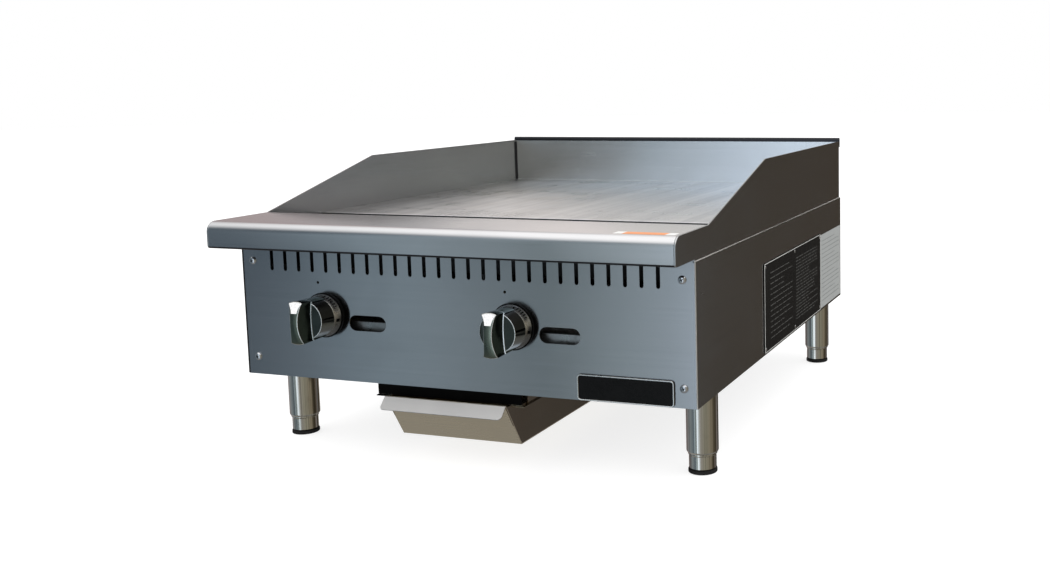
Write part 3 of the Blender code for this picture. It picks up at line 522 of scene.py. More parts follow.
# ---------------------------------------------------------------- stage
def make_camera():
    azimuth, elevation, roll = CAMERA_AZIMUTH, CAMERA_ELEVATION, CAMERA_ROLL
    back = Vector(
        (
            math.sin(azimuth) * math.cos(elevation),
            -math.cos(azimuth) * math.cos(elevation),
            math.sin(elevation),
        )
    )
    level = (-back).cross(Vector((0, 0, 1))).normalized()
    upward = level.cross(-back)
    right = math.cos(roll) * level + math.sin(roll) * upward
    up = -math.sin(roll) * level + math.cos(roll) * upward
    data = bpy.data.cameras.new("photo_camera")
    data.sensor_width = 36
    data.lens = CAMERA_LENS
    data.shift_x, data.shift_y = CAMERA_SHIFT
    camera = bpy.data.objects.new("photo_camera", data)
    turn = Matrix((right, up, back)).transposed().to_4x4()
    place = (CAMERA_X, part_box("front_panel")[0].y - CAMERA_FRONT, CAMERA_Z)
    camera.matrix_world = Matrix.Translation(place) @ turn
    bpy.context.scene.collection.objects.link(camera)
    bpy.context.scene.camera = camera


# What polished metal sees level with it, by degrees to the right of straight in front.
HORIZON = (
    (-180, (0.050, 0.032, 0.020)),
    (-175, (0.16, 0.15, 0.14)),
    (-169, (0.66, 0.64, 0.62)),
    (-157, (0.70, 0.68, 0.65)),
    (-153.5, (0.88, 0.81, 0.78)),
    (-149, (0.80, 0.75, 0.73)),
    (-144, (0.46, 0.45, 0.45)),
    (-137, (0.42, 0.345, 0.34)),
    (-90, (0.20, 0.22, 0.24)),
    (-60, (0.13, 0.16, 0.18)),
    (-42, (0.080, 0.105, 0.130)),
    (-36, (0.31, 0.39, 0.44)),
    (-32, (0.26, 0.31, 0.34)),
    (-28, (0.12, 0.155, 0.165)),
    (-24.5, (0.36, 0.43, 0.46)),
    (-20.5, (0.34, 0.405, 0.445)),
    (-17, (1.05, 1.20, 1.38)),
    (-10, (1.05, 1.18, 1.32)),
    (4, (0.32, 0.31, 0.29)),
    (40, (0.28, 0.27, 0.22)),
    (90, (0.23, 0.20, 0.15)),
    (112, (0.075, 0.062, 0.042)),
    (130, (0.065, 0.055, 0.040)),
    (142, (0.24, 0.20, 0.185)),
    (150, (0.17, 0.18, 0.195)),
    (158, (0.062, 0.052, 0.040)),
    (180, (0.050, 0.032, 0.020)),
)
CEILING = (1.38, 1.37, 1.36)
GROUND = (0.24, 0.235, 0.225)
AMBIENT = 1.2
FLOOR_GLOW = 0.78


def make_world():
    """White to the camera, even light on paint, and to metal a room with a ceiling and a ground."""
    world = bpy.data.worlds.new("studio")
    bpy.context.scene.world = world
    world.use_nodes = True
    tree = world.node_tree
    tree.nodes.clear()

    def add(kind, **settings):
        node = tree.nodes.new(kind)
        for key, value in settings.items():
            setattr(node, key, value)
        return node

    def chain(kind, sources, settings, **options):
        node = add(kind, **options)
        for index, source in sources.items():
            tree.links.new(source, node.inputs[index])
        for index, value in settings.items():
            node.inputs[index].default_value = value
        return node

    direction = add("ShaderNodeTexCoord").outputs["Generated"]
    x, y, z = chain("ShaderNodeSeparateXYZ", {0: direction}, {}).outputs
    forwards = chain("ShaderNodeMath", {0: y}, {1: -1.0}, operation="MULTIPLY").outputs[0]
    turn = chain("ShaderNodeMath", {0: x, 1: forwards}, {}, operation="ARCTAN2").outputs[0]
    share = chain("ShaderNodeMapRange", {0: turn}, {1: -math.pi, 2: math.pi}).outputs[0]
    ramp = chain("ShaderNodeValToRGB", {0: share}, {})
    ramp.color_ramp.interpolation = "EASE"
    stops = ramp.color_ramp.elements
    while len(stops) > 1:
        stops.remove(stops[-1])
    for index, (degrees, color) in enumerate(HORIZON):
        place = (degrees + 180) / 360
        stop = stops[0] if index == 0 else stops.new(place)
        stop.position = place
        stop.color = (*color, 1)

    def towards(value, low, high, below, color):
        smooth = {"interpolation_type": "SMOOTHSTEP"}
        share = chain("ShaderNodeMapRange", {0: value}, {1: low, 2: high}, **smooth).outputs[0]
        mixed = chain("ShaderNodeMix", {0: share, 6: below}, {7: (*color, 1)}, data_type="RGBA")
        return mixed.outputs[2]

    seen = towards(z, 0.42, 0.92, ramp.outputs["Color"], CEILING)
    seen = towards(z, -0.45, -0.8, seen, GROUND)
    path = add("ShaderNodeLightPath")
    reflected = chain("ShaderNodeBackground", {0: seen}, {})
    even = chain("ShaderNodeBackground", {}, {0: (1, 1, 1, 1), 1: AMBIENT})
    white = chain("ShaderNodeBackground", {}, {0: (1, 1, 1, 1)})
    sources = {0: path.outputs["Is Glossy Ray"], 1: even.outputs[0], 2: reflected.outputs[0]}
    lit = chain("ShaderNodeMixShader", sources, {}).outputs[0]
    sources = {0: path.outputs["Is Camera Ray"], 1: lit, 2: white.outputs[0]}
    final = chain("ShaderNodeMixShader", sources, {}).outputs[0]
    tree.links.new(final, add("ShaderNodeOutputWorld").inputs["Surface"])


def make_floor():
    """A wide pale floor, lit a little from below like a product table and not seen in the metal."""
    g = Graph("pale_floor")
    mottle = g.noise((1.5, 1.5, 1.5), detail=2)
    g.color(g.mix(mottle, (0.40, 0.40, 0.40), (0.42, 0.42, 0.42)))
    g.roughness(g.spread(mottle, 0.3, 0.7, 0.85, 0.95))
    g.fix("Specular IOR Level", 0.0)
    g.fix("Emission Color", (1.0, 1.0, 1.0, 1.0))
    g.fix("Emission Strength", FLOOR_GLOW)
    bm = bmesh.new()
    bmesh.ops.create_circle(bm, cap_ends=True, radius=14, segments=96)
    mesh = bpy.data.meshes.new("floor")
    bm.to_mesh(mesh)
    bm.free()
    mesh.materials.append(g.material)
    floor = bpy.data.objects.new("floor", mesh)
    floor.location.z = -0.0005
    floor.visible_glossy = False
    bpy.context.scene.collection.objects.link(floor)


def make_lights():
    """Two soft boxes for the floor, paint and plastic, which the metal doesn't reflect."""
    target = Vector((0, 0, 0.2))
    boxes = (
        ("key_box", (-1.3, -1.9, 2.2), (1.6, 1.2), 5, (0.98, 0.99, 1.0)),
        ("top_box", (0.2, 0.3, 2.6), (2.2, 2.2), 8, (1.0, 0.99, 0.97)),
    )
    for name, place, size, power, color in boxes:
        data = bpy.data.lights.new(name, "AREA")
        data.shape = "RECTANGLE"
        data.size, data.size_y = size
        data.energy = power
        data.color = color
        light = bpy.data.objects.new(name, data)
        turn = (target - Vector(place)).to_track_quat("-Z", "Y").to_matrix().to_4x4()
        light.matrix_world = Matrix.Translation(place) @ turn
        light.visible_glossy = False
        bpy.context.scene.collection.objects.link(light)


# ---------------------------------------------------------------- sheet metal
NOSE_RADIUS, NOSE_FOOT = 0.0130, 0.0035
NOSE_HEIGHT, NOSE_UNDERSIDE = 0.0326, 0.0024
GUARD_RUN = 0.2245
# Leg of the dark bead in each back corner, a strip of painted shade.
WELD = 0.0030
PANEL_EDGE, PANEL_EDGE_LIFT = 0.0008, 0.0002
# Height of the painted-shade band on the back guard's front, and how far its roll hangs down behind.
SHADE_BAND_HEIGHT, HEM_DROP = 0.0068, 0.0120


def ease_edges(node, width):
    """Gives a CAD sheet piece its rolled edges."""
    weld = node.modifiers.new("weld", "WELD")
    weld.merge_threshold = 0.00001
    flat = node.modifiers.new("flat", "DECIMATE")
    flat.decimate_type = "DISSOLVE"
    flat.angle_limit = math.radians(0.5)
    bevel = node.modifiers.new("edges", "BEVEL")
    bevel.width = width
    bevel.segments = 2
    bevel.limit_method = "ANGLE"
    bevel.angle_limit = math.radians(40)
    bevel.harden_normals = True


def dress(node_name, surface, width=None):
    """Gives a CAD node its material and, where it has a width, its rolled edges."""
    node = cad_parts[node_name]
    node.data.materials.clear()
    node.data.materials.append(surface)
    if width:
        ease_edges(node, width)


def nose_outline(front, top):
    """The bullnose as (y, z) pairs, from the back end of its top down to its foot."""
    nose = arc((front + NOSE_RADIUS, top - NOSE_RADIUS), NOSE_RADIUS, 90, 180, 14)
    return nose + arc((front + NOSE_FOOT, top - NOSE_HEIGHT + NOSE_FOOT), NOSE_FOOT, 180, 270, 6)


def make_ledge(mat):
    """The ledge between the side guards: one sheet with a bullnose, whose underside is painted dark as
    shade.
    """
    low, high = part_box("front_ledge")
    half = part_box("right_splash")[0].x - EDGE / 2
    path = [(high.y, low.z), (high.y, high.z)]
    path += nose_outline(low.y, high.z)
    path.append((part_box("front_panel")[0].y - EDGE, high.z - NOSE_HEIGHT))
    outline = sheet_outline(path, SHEET)
    bm = bmesh.new()
    # Faces below this level take the near-black painted shade.
    underside = high.z - NOSE_HEIGHT + NOSE_UNDERSIDE
    for face in add_prism(bm, outline, at_x, -half, half):
        face.material_index = int(face.calc_center_median().z < underside)
    finished("ledge_sheet", bm, [mat["ledge"], mat["hem"]], CHASSIS, ["front_ledge"])


def make_guards(mat):
    """The side guards, each one plate from bullnose to back guard, with a dark bead of painted shade in
    its back corner.
    """
    ledge_low, ledge_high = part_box("front_ledge")
    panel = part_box("front_panel")[0].y - EDGE
    for side_name, side in SIDES.items():
        node = f"{side_name}_splash"
        low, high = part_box(node)
        outline = [
            (high.y, low.z),
            (high.y, high.z),
            (ledge_high.y + GUARD_RUN, high.z),
            (ledge_high.y, ledge_high.z),
            *nose_outline(ledge_low.y, ledge_high.z),
            (panel, ledge_high.z - NOSE_HEIGHT),
            (panel, low.z),
        ]
        slab = (outline, at_x, low.x, high.x, EDGE)
        slab_piece(f"{side_name}_guard", slab, mat["side"], CHASSIS, [node])
        inner = high.x if side < 0 else low.x
        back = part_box("back_splash")[0].y
        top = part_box("griddle_plate")[1].z
        # A near-black bead in the inside corner: painted shade where guard meets back guard.
        bead = [(inner, back), (inner, back - WELD), (inner - side * WELD, back)]
        bm = bmesh.new()
        add_prism(bm, bead, at_z, top, high.z - WELD)
        finished(f"corner_shade_{side_name}", bm, mat["hem"], CHASSIS)


def make_panel_edges(mat):
    """The rolled edge of each side panel, along its top and down its front: bright on the right as
    painted highlight, dark on the left as painted shade.
    """
    for side_name, side in SIDES.items():
        low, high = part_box(f"{side_name}_side_panel")
        outer = high.x if side > 0 else low.x
        radius = PANEL_EDGE
        middle = outer - side * radius
        front, top = low.y - PANEL_EDGE_LIFT, high.z + PANEL_EDGE_LIFT
        route = [(front, low.z + radius), (front, top), (high.y - radius, top)]
        rings = []
        for (y, z), (slope_y, slope_z) in zip(route, ((-1, 0), (-1, 1), (0, -1))):
            ring = []
            for x, out in arc((0, 0), radius, 0, 330, 11):
                ring.append(Vector((middle + x, y + slope_y * out, z + slope_z * out)))
            rings.append(ring)
        bm = bmesh.new()
        add_loft(bm, rings)
        # Painted light: the right edge is a bright copy of the steel, and the left edge is near-black
        # painted shade.
        surface = mat["edge"] if side_name == "right" else mat["hem"]
        finished(f"{side_name}_panel_edge", bm, surface, CHASSIS)


def make_back_guard(mat):
    """The back guard, whose top rolls over backwards and hangs down behind, with a band of painted
    shade along its top.
    """
    low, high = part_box("back_splash")
    radius = (high.y - low.y) / 2
    path = [(low.y, low.z), (low.y, high.z - SHADE_BAND_HEIGHT), (low.y, high.z - radius)]
    path += arc((low.y + radius, high.z - radius), radius, 180, 0, 16)[1:]
    path.append((high.y, high.z - radius - HEM_DROP))
    outline = sheet_outline(path[::-1], SHEET)
    bm = bmesh.new()
    # Faces above this level take the near-black painted shade.
    hem = high.z - SHADE_BAND_HEIGHT - EDGE
    for face in add_prism(bm, outline, at_x, low.x, high.x):
        face.material_index = int(min(v.co.z for v in face.verts) > hem and len(face.verts) == 4)
    surfaces = [mat["upright"], mat["hem"]]
    finished("back_guard", bm, surfaces, CHASSIS, ["back_splash"])


# ---------------------------------------------------------------- controls
BEZEL_FLOOR = 0.0030
BEZEL_RISE, BEZEL_LIP, BEZEL_TAPER = 0.0068, 0.0007, 0.0020
RING_TOP, RING_END = 0.0084, 0.0175
RING_RADIUS, FACE_RADIUS = 0.0243, 0.0232
FACE, FACE_RIM, FACE_SINK = 0.0400, 0.0009, 0.0010
GRIP_FRONT, GRIP_BULGE = 0.0610, 0.0055
GRIP_ROUND, GRIP_FOOT_ROUND = 0.0262, 0.0249
GRIP_END, GRIP_WAIST, GRIP_BASE = 0.0095, 0.0053, 0.0074
GRIP_STEPS, GRIP_EASE = 24, 0.0006
POINTER_HEIGHT, POINTER_FOOT, POINTER_INSET, POINTER_LIFT = 0.0138, 0.0040, 0.0002, 0.00018
MARK_ANGLES = (16, 27, 35, 43, 51, 59, 98)
MARK_WIDTH, LAST_MARK_WIDTH = 0.0011, 0.0040
MARK_LENGTH, MARK_DEPTH = 0.0044, 0.0003

# The surfaces along the knob's profile, from skirt to face, each with the steps that it covers; the
# skirt wears the bezel's black as painted shade.
KNOB_BANDS = (("bezel", 6), ("ring", 3), ("chrome", 3), ("rim", 4), ("face", 2))
# The levels of the grip that take the bright rim chrome as painted highlight: its rim around the face,
# and its front edge.
BRIGHT_LEVELS = (1, 2, 4, 5)


def grip_half_width(v, middle, end):
    """Half the grip's width at a height v above or below the knob's axis."""
    return middle + (end - middle) * min(abs(v) / GRIP_ROUND, 1) ** 2.2


def grip_side(middle, end, rounding, ease=0.0):
    """The right half of the grip's outline, from top to bottom: arched ends and a waisted side."""
    last = math.degrees(math.asin((end - ease) / rounding))
    arch = arc((0, 0), rounding - ease, 90, 90 - last, 6)
    corner = arch[-1][1]
    side = []
    for i in range(1, GRIP_STEPS):
        v = corner * (1 - 2 * i / GRIP_STEPS)
        side.append((grip_half_width(v, middle, end) - ease, v))
    return arch + side + [(u, -v) for u, v in arch[::-1]]


def grip_front(v):
    """How far the grip's bulging front stands out at a height v."""
    return GRIP_FRONT - GRIP_BULGE * (v / GRIP_ROUND) ** 2


def add_grip(bm, place):
    """The bar across the face, in rings from the dial to its front, with rims painted bright as
    highlight.
    """
    middle_round = (GRIP_FOOT_ROUND + GRIP_ROUND) / 2
    wide_base, wide_end = GRIP_BASE + FACE_RIM, GRIP_END + FACE_RIM
    # Half width at the waist and at the ends, rounding, ease, height where flat, drop from the front.
    levels = (
        (wide_base, wide_end, GRIP_FOOT_ROUND, 0.0, RING_END - 0.0004, 0),
        (wide_base, wide_end, middle_round, 0.0, FACE - FACE_SINK, 0),
        (wide_base, wide_end, middle_round, 0.0, FACE, 0),
        (GRIP_BASE, GRIP_END, middle_round, 0.0, FACE + 0.0001, 0),
        (GRIP_WAIST, GRIP_END, GRIP_ROUND, 0.0, None, GRIP_EASE),
        (GRIP_WAIST, GRIP_END, GRIP_ROUND, GRIP_EASE * 0.3, None, GRIP_EASE * 0.3),
        (GRIP_WAIST, GRIP_END, GRIP_ROUND, GRIP_EASE, None, 0),
    )
    rings = []
    for middle, end, rounding, ease, flat, drop in levels:
        right = grip_side(middle, end, rounding, ease)
        ring = right + [(-u, v) for u, v in right[-2:0:-1]]
        heights = [flat or grip_front(v) - drop for u, v in ring]
        rings.append([bm.verts.new(place @ Vector((u, v, h))) for (u, v), h in zip(ring, heights)])
    count = len(rings[0])
    for level, (a, b) in enumerate(zip(rings, rings[1:])):
        for i in range(count):
            j = (i + 1) % count
            face = bm.faces.new((a[i], b[i], b[j], a[j]))
            face.material_index = int(level in BRIGHT_LEVELS)
    bm.faces.new(rings[0])
    front = rings[-1]
    half = count // 2
    caps = [bm.faces.new((front[0], front[1], front[-1]))]
    for i in range(1, half - 1):
        caps.append(bm.faces.new((front[i], front[i + 1], front[count - i - 1], front[count - i])))
    caps.append(bm.faces.new((front[half - 1], front[half], front[half + 1])))
    for face in caps:
        face.material_index = 2


def add_pointer(bm, place):
    """The white inlay on the grip's upper end, following its arch and its bulge."""
    inner = GRIP_ROUND - GRIP_EASE - POINTER_INSET
    top_half = GRIP_END - GRIP_EASE - POINTER_INSET
    corner = math.sqrt(inner**2 - top_half**2)
    foot = GRIP_ROUND - POINTER_HEIGHT
    halves = [top_half * i / 5 for i in range(1, 6)]
    rows = [(half, math.sqrt(inner**2 - half**2)) for half in halves]
    for i in range(1, 7):
        share = i / 6
        narrow = 1 - (1 - share) ** 1.7
        rows.append((top_half + (POINTER_FOOT - top_half) * narrow, corner + (foot - corner) * share))
    layers = []
    for lift in (-POINTER_INSET, POINTER_LIFT):
        layer = []
        for u, v in rows:
            pair = [Vector((side * u, v, grip_front(v) + lift)) for side in (-1, 1)]
            layer.append([bm.verts.new(place @ point) for point in pair])
        layers.append(layer)
    below, above = layers
    for layer in layers:
        for a, b in zip(layer, layer[1:]):
            bm.faces.new((a[0], a[1], b[1], b[0]))
    for side in (0, 1):
        for i in range(len(rows) - 1):
            bm.faces.new((below[i][side], below[i + 1][side], above[i + 1][side], above[i][side]))
    for i in (0, -1):
        bm.faces.new((below[i][0], below[i][1], above[i][1], above[i][0]))


def make_knobs(mat):
    """Each knob: a plated body, a marked ring, a waisted grip and a white pointer."""
    for name in SIDES:
        body = f"knob_turn_{name}"
        low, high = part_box(f"valve_stem_{name}")
        x, z = (low.x + high.x) / 2, (low.z + high.z) / 2
        place = facing_front(x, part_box("front_panel")[0].y, z)
        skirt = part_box(f"knob_bezel_{name}")[1].x - x - 0.0022
        back = BEZEL_FLOOR + 0.0030
        rim = FACE_RADIUS - FACE_RIM
        profile = [
            (0, back),
            (skirt, back),
            *arc((skirt - 0.0006, RING_TOP - 0.0006), 0.0006, 0, 60, 4),
            (RING_RADIUS, RING_END - 0.0004),
            (RING_RADIUS - 0.0004, RING_END),
            (RING_RADIUS - 0.0005, RING_END + 0.0006),
            (FACE_RADIUS, FACE - 0.0006),
            *arc((FACE_RADIUS - 0.0004, FACE - 0.0004), 0.0004, 0, 90, 4),
            (rim, FACE),
            (rim - 0.0003, FACE - FACE_SINK),
            (0, FACE - FACE_SINK),
        ]
        bm = bmesh.new()
        bands = [index for index, (_, steps) in enumerate(KNOB_BANDS) for _ in range(steps * ROUND)]
        for face, index in zip(add_lathe(bm, profile, place), bands):
            face.material_index = index
        surfaces = [mat[surface] for surface, _ in KNOB_BANDS]
        pieces = [finished(f"{body}_body", bm, surfaces, body, [f"knob_{name}"])]

        bm = bmesh.new()
        add_grip(bm, place)
        surfaces = [mat["dark"], mat["rim"], mat["grip_front_shade"]]
        pieces.append(finished(f"{body}_grip", bm, surfaces, body))
        bm = bmesh.new()
        add_pointer(bm, place)
        pieces.append(finished(f"{body}_pointer", bm, mat["white"], body))

        bm = bmesh.new()
        slope = math.atan2(skirt - RING_RADIUS, RING_END - RING_TOP)
        middle = Matrix.Translation((0, (skirt + RING_RADIUS) / 2, (RING_TOP + RING_END) / 2))
        for degrees in MARK_ANGLES:
            turn = Matrix.Rotation(math.radians(-degrees), 4, "Z")
            wide = LAST_MARK_WIDTH if degrees == MARK_ANGLES[-1] else MARK_WIDTH
            size = Matrix.Rotation(slope, 4, "X") @ Matrix.Diagonal((wide, MARK_DEPTH, MARK_LENGTH, 1))
            bmesh.ops.create_cube(bm, size=1, matrix=place @ turn @ middle @ size)
        pieces.append(finished(f"{body}_ticks", bm, mat["black"], body))
        for piece in pieces:
            piece.visible_glossy = False


def make_bezels(mat):
    """The black dish that each knob sinks into, a little narrower where it meets the panel."""
    for name in SIDES:
        low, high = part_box(f"knob_bezel_{name}")
        place = facing_front((low.x + high.x) / 2, high.y, (low.z + high.z) / 2)
        inner = (high.x - low.x) / 2 - 0.0018
        outer = inner + BEZEL_LIP
        profile = [
            (0.0060, 0),
            (outer - BEZEL_TAPER, 0),
            (outer, BEZEL_RISE - 0.0006),
            *arc((outer - 0.0003, BEZEL_RISE - 0.0003), 0.0003, 0, 90, 5),
            (inner, BEZEL_RISE - 0.0002),
            (inner, BEZEL_FLOOR),
            (0.0060, BEZEL_FLOOR),
            (0.0060, 0),
        ]
        bm = bmesh.new()
        add_lathe(bm, profile, place)
        bmesh.ops.remove_doubles(bm, verts=bm.verts, dist=1e-6)
        finished(f"bezel_{name}", bm, mat["bezel"], CHASSIS, [f"knob_bezel_{name}"])


# The windows' middle from the knob's axis, their half sizes, and the brackets behind them.
WINDOW_SHIFT, WINDOW_DROP = 0.0578, 0.0090
WINDOW_HALF = (0.0265, 0.00975)
BRACKET_DEPTH, BRACKET_SHEET = 0.0120, 0.0012


def make_window_brackets(mat):
    """The small bent sheet behind each lighting window, which ends short of the window's top."""
    for name in SIDES:
        low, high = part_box(f"valve_stem_{name}")
        x = (low.x + high.x) / 2 + WINDOW_SHIFT
        z = (low.z + high.z) / 2 - WINDOW_DROP
        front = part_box("front_panel")[0].y + BRACKET_DEPTH
        top = z + WINDOW_HALF[1] * 0.02
        path = [(front, z - 2.2 * WINDOW_HALF[1]), (front, top - 0.002)]
        path += arc((front + 0.002, top - 0.002), 0.002, 180, 90, 6)[1:]
        path.append((front + 0.012, top))
        outline = sheet_outline(path[::-1], BRACKET_SHEET)
        bm = bmesh.new()
        half = WINDOW_HALF[0] * 1.25
        add_prism(bm, outline, at_x, x - half, x + half)
        finished(f"window_bracket_{name}", bm, mat["bracket"], CHASSIS)


# ---------------------------------------------------------------- legs
def make_legs(mat):
    """Tube legs with a swaged lower end, and their screwed feet on rubber pads."""
    for end in ENDS:
        for side in SIDES:
            low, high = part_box(f"leg_{end}_{side}")
            x, y = (low.x + high.x) / 2, (low.y + high.y) / 2
            radius = (high.x - low.x) / 2
            place = Matrix.Translation((x, y, 0))
            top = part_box("bottom_pan")[0].z - SHEET - 0.0006
            foot_low, foot_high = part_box(f"foot_{end}_{side}")
            foot_radius = (foot_high.x - foot_low.x) / 2
            profile = [
                (0, top),
                (radius - 0.0008, top),
                (radius, top - 0.0008),
                *arc((radius - 0.0040, low.z + 0.0053), 0.0040, 0, -55, 8),
                (foot_radius + 0.0011, low.z + 0.0006),
                (foot_radius + 0.0005, low.z),
                (foot_radius - 0.0010, low.z),
                (foot_radius - 0.0010, low.z + 0.0020),
                (0, low.z + 0.0020),
            ]
            tube = f"leg_tube_{end}_{side}"
            turned_piece(tube, profile, place, mat["leg"], CHASSIS, [f"leg_{end}_{side}"])

            body = f"leveller_{end}_{side}"
            plug = [
                (0, foot_high.z),
                (0.0055, foot_high.z),
                (0.0060, foot_high.z - 0.0006),
                (0.0060, low.z - 0.0003),
                (foot_radius - 0.0006, low.z - 0.0003),
                (foot_radius, low.z - 0.0009),
                (foot_radius, foot_low.z + 0.0012),
                (foot_radius - 0.0012, foot_low.z),
                (0, foot_low.z),
            ]
            foot = f"foot_plug_{end}_{side}"
            turned_piece(foot, plug, place, mat["leg"], body, [f"foot_{end}_{side}"])

            pad_low, pad_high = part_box(f"foot_pad_{end}_{side}")
            pad_radius = (pad_high.x - pad_low.x) / 2
            pad = [
                (0, pad_high.z),
                (pad_radius - 0.0014, pad_high.z),
                *arc((pad_radius - 0.0014, pad_high.z - 0.0014), 0.0014, 90, 0, 5)[1:],
                *arc((pad_radius - 0.0010, 0.0010), 0.0010, 0, -90, 5),
                (pad_radius - 0.0045, 0),
                (pad_radius - 0.0050, 0.0004),
                (0, 0.0004),
            ]
            name = f"pad_{end}_{side}"
            turned_piece(name, pad, place, mat["rubber"], body, [f"foot_pad_{end}_{side}"])


# ---------------------------------------------------------------- grease tray
TRAY_FLANGE = 0.0140
TRAY_SHEET = 0.0012
TRAY_BEND = 0.0012
TRAY_SLOPE = 0.0345
FLANGE_START = 0.0135
LIP_LENGTH = 0.0180
LIP_CORNER = 0.0050


def make_tray(mat):
    """The folded grease drawer: sloped front, side walls with turned-out flanges, and a finger lip."""
    low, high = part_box("grease_tray")
    down = math.sqrt(0.5)
    front = low.y + LIP_LENGTH * down + TRAY_SHEET / 2
    wall_xs = (low.x + TRAY_FLANGE, high.x - TRAY_FLANGE)
    bend = TRAY_BEND
    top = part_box("tray_front_bar")[0].z - GAP
    path = [(high.y, top), (high.y, low.z + bend)]
    path += arc((high.y - bend, low.z + bend), bend, 0, -90, 5)[1:]
    path += [(front + TRAY_SLOPE, low.z), (front, high.z - TRAY_SHEET / 2)]
    outline = sheet_outline(path[::-1], TRAY_SHEET)
    bm = bmesh.new()
    add_prism(bm, outline, at_x, *wall_xs)
    wall = [
        (front + 0.0004, top - TRAY_SHEET),
        (front + TRAY_SLOPE + 0.0002, low.z + 0.0003),
        (high.y - 0.0004, low.z + 0.0003),
        (high.y - 0.0004, top),
        (front + FLANGE_START, top),
        (front + FLANGE_START, top - TRAY_SHEET),
    ]
    for x, outer, side in zip(wall_xs, (low.x, high.x), (1, -1)):
        # The side walls take the dark brown of painted shade.
        for face in add_prism(bm, wall, at_x, x + side * 0.00005, x + side * TRAY_SHEET):
            face.material_index = 1
        flange = [(outer, top - TRAY_SHEET), (x, top - TRAY_SHEET), (x, top), (outer, top)]
        add_prism(bm, flange, at_y, front + FLANGE_START, high.y - 0.0004)
    finished("tray_pan", bm, [mat["tray"], mat["tray_shaded_side"]], "tray", ["grease_tray"])

    whole = rounded_rectangle(wall_xs, (-LIP_LENGTH, LIP_LENGTH), LIP_CORNER, 10)
    rim = [(wall_xs[1], 0.0), (wall_xs[0], 0.0), *[(x, s) for x, s in whole if s < 0]]
    hinge = Matrix.Translation((0, front, high.z - TRAY_SHEET / 2))
    tilt = hinge @ Matrix.Rotation(math.radians(45), 4, "X")

    def tilted(points, height):
        return [tilt @ Vector((x, s, height)) for x, s in points]

    slab = (rim, tilted, -TRAY_SHEET / 2, TRAY_SHEET / 2, EASE)
    slab_piece("tray_lip", slab, mat["lip"], "tray")


# ---------------------------------------------------------------- plates, labels and screws
BADGE_RIM = 0.0014
PLATE_THICKNESS = 0.0010
PLATE_SEED, PLATE_DASH = 5, 0.0009
RIVET_INSET, RIVET_RADIUS, RIVET_HEIGHT = 0.0050, 0.0023, 0.0012
LABEL_GAP, LABEL_WIDTH = 0.0018, 0.139
LABEL_MARGIN, LINE_STEP, LINE_WIDTH, LINES = 0.010, 0.0068, 0.0006, 15
STRIP_XS, STRIP_DEPTH, STRIP_ORANGE = (0.226, 0.298), 0.015, 0.024
SCREW_TURN = math.radians(25)
CROSS_WIDE, CROSS_NARROW, CROSS_THICK, CROSS_DEPTH = 0.0026, 0.0012, 0.00055, 0.0016


def make_badge(mat):
    """A blank black enamel badge in a bright rim."""
    low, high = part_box("front_badge")
    outline = rounded_rectangle((low.x, high.x), (low.z, high.z), 0.0045, 10)
    slab = (outline, at_y, high.y, low.y + 0.0005, EASE)
    slab_piece("badge_base", slab, mat["badge"], CHASSIS, ["front_badge"])
    bm = bmesh.new()
    outer, inner = inset(outline, 0.0002), inset(outline, 0.0002 + BADGE_RIM)
    add_band(bm, outer, inner, at_y, low.y + 0.0010, low.y)
    finished("badge_rim", bm, mat["silver"], CHASSIS)


def add_band(bm, outer, inner, place, back, front):
    """A closed band between two outlines, from back to front, with eased front edges."""
    ease = math.copysign(EASE, back - front)
    loops = [
        place(outer, back),
        place(outer, front + ease),
        place(inset(outer, EASE), front),
        place(inset(inner, -EASE), front),
        place(inner, front + ease),
        place(inner, back),
    ]
    rings = [[bm.verts.new(p) for p in loop] for loop in loops]
    for a, b in zip(rings, rings[1:] + rings[:1]):
        for i in range(len(a)):
            j = (i + 1) % len(a)
            bm.faces.new((a[i], b[i], b[j], a[j]))


def make_rating_plate(mat):
    """The blank rating plate: black enamel with a thin bright border, rows of dashes and six rivets."""
    low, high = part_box("rating_plate")
    face = low.x + PLATE_THICKNESS
    width, height = high.y - low.y, high.z - low.z
    outline = rounded_rectangle((low.y, high.y), (low.z, high.z), 0.0020)
    slab = (outline, at_x, low.x, face, 0.0002)
    slab_piece("rating_base", slab, mat["plate_black"], CHASSIS, ["rating_plate"])
    bm = bmesh.new()
    add_band(bm, inset(outline, 0.0003), inset(outline, 0.0013), at_x, face - 0.0002, face + 0.0003)
    finished("rating_border", bm, mat["border"], CHASSIS)
    pick = random.Random(PLATE_SEED)
    bm = bmesh.new()
    for start, end, rows in ((0.09, 0.45, 13), (0.52, 0.93, 20)):
        for row in range(rows):
            z = high.z - height * (0.13 + 0.74 * row / (rows - 1))
            y = start
            stop = end - (end - start) * pick.choice((0.0, 0.0, 0.15, 0.4))
            while y < stop:
                dash = min(pick.uniform(0.02, 0.08), stop - y)
                a, b = low.y + width * y, low.y + width * (y + dash)
                corners = [(a, z), (b, z), (b, z - PLATE_DASH), (a, z - PLATE_DASH)]
                add_prism(bm, corners, at_x, face - 0.0001, face + 0.00008)
                y += dash + 0.012
    finished("rating_dashes", bm, mat["faint"], CHASSIS)
    bm = bmesh.new()
    dome = [(RIVET_RADIUS * math.cos(turn), RIVET_HEIGHT * math.sin(turn)) for turn in (0.3, 0.7, 1.1)]
    profile = [(0, 0), (RIVET_RADIUS, 0), *dome, (0, RIVET_HEIGHT)]
    for y in (low.y + RIVET_INSET, (low.y + high.y) / 2, high.y - RIVET_INSET):
        for z in (low.z + RIVET_INSET, high.z - RIVET_INSET):
            add_lathe(bm, profile, facing_right(face - 0.0002, y, z), 32)
    finished("rating_rivets", bm, mat["screw"], CHASSIS)


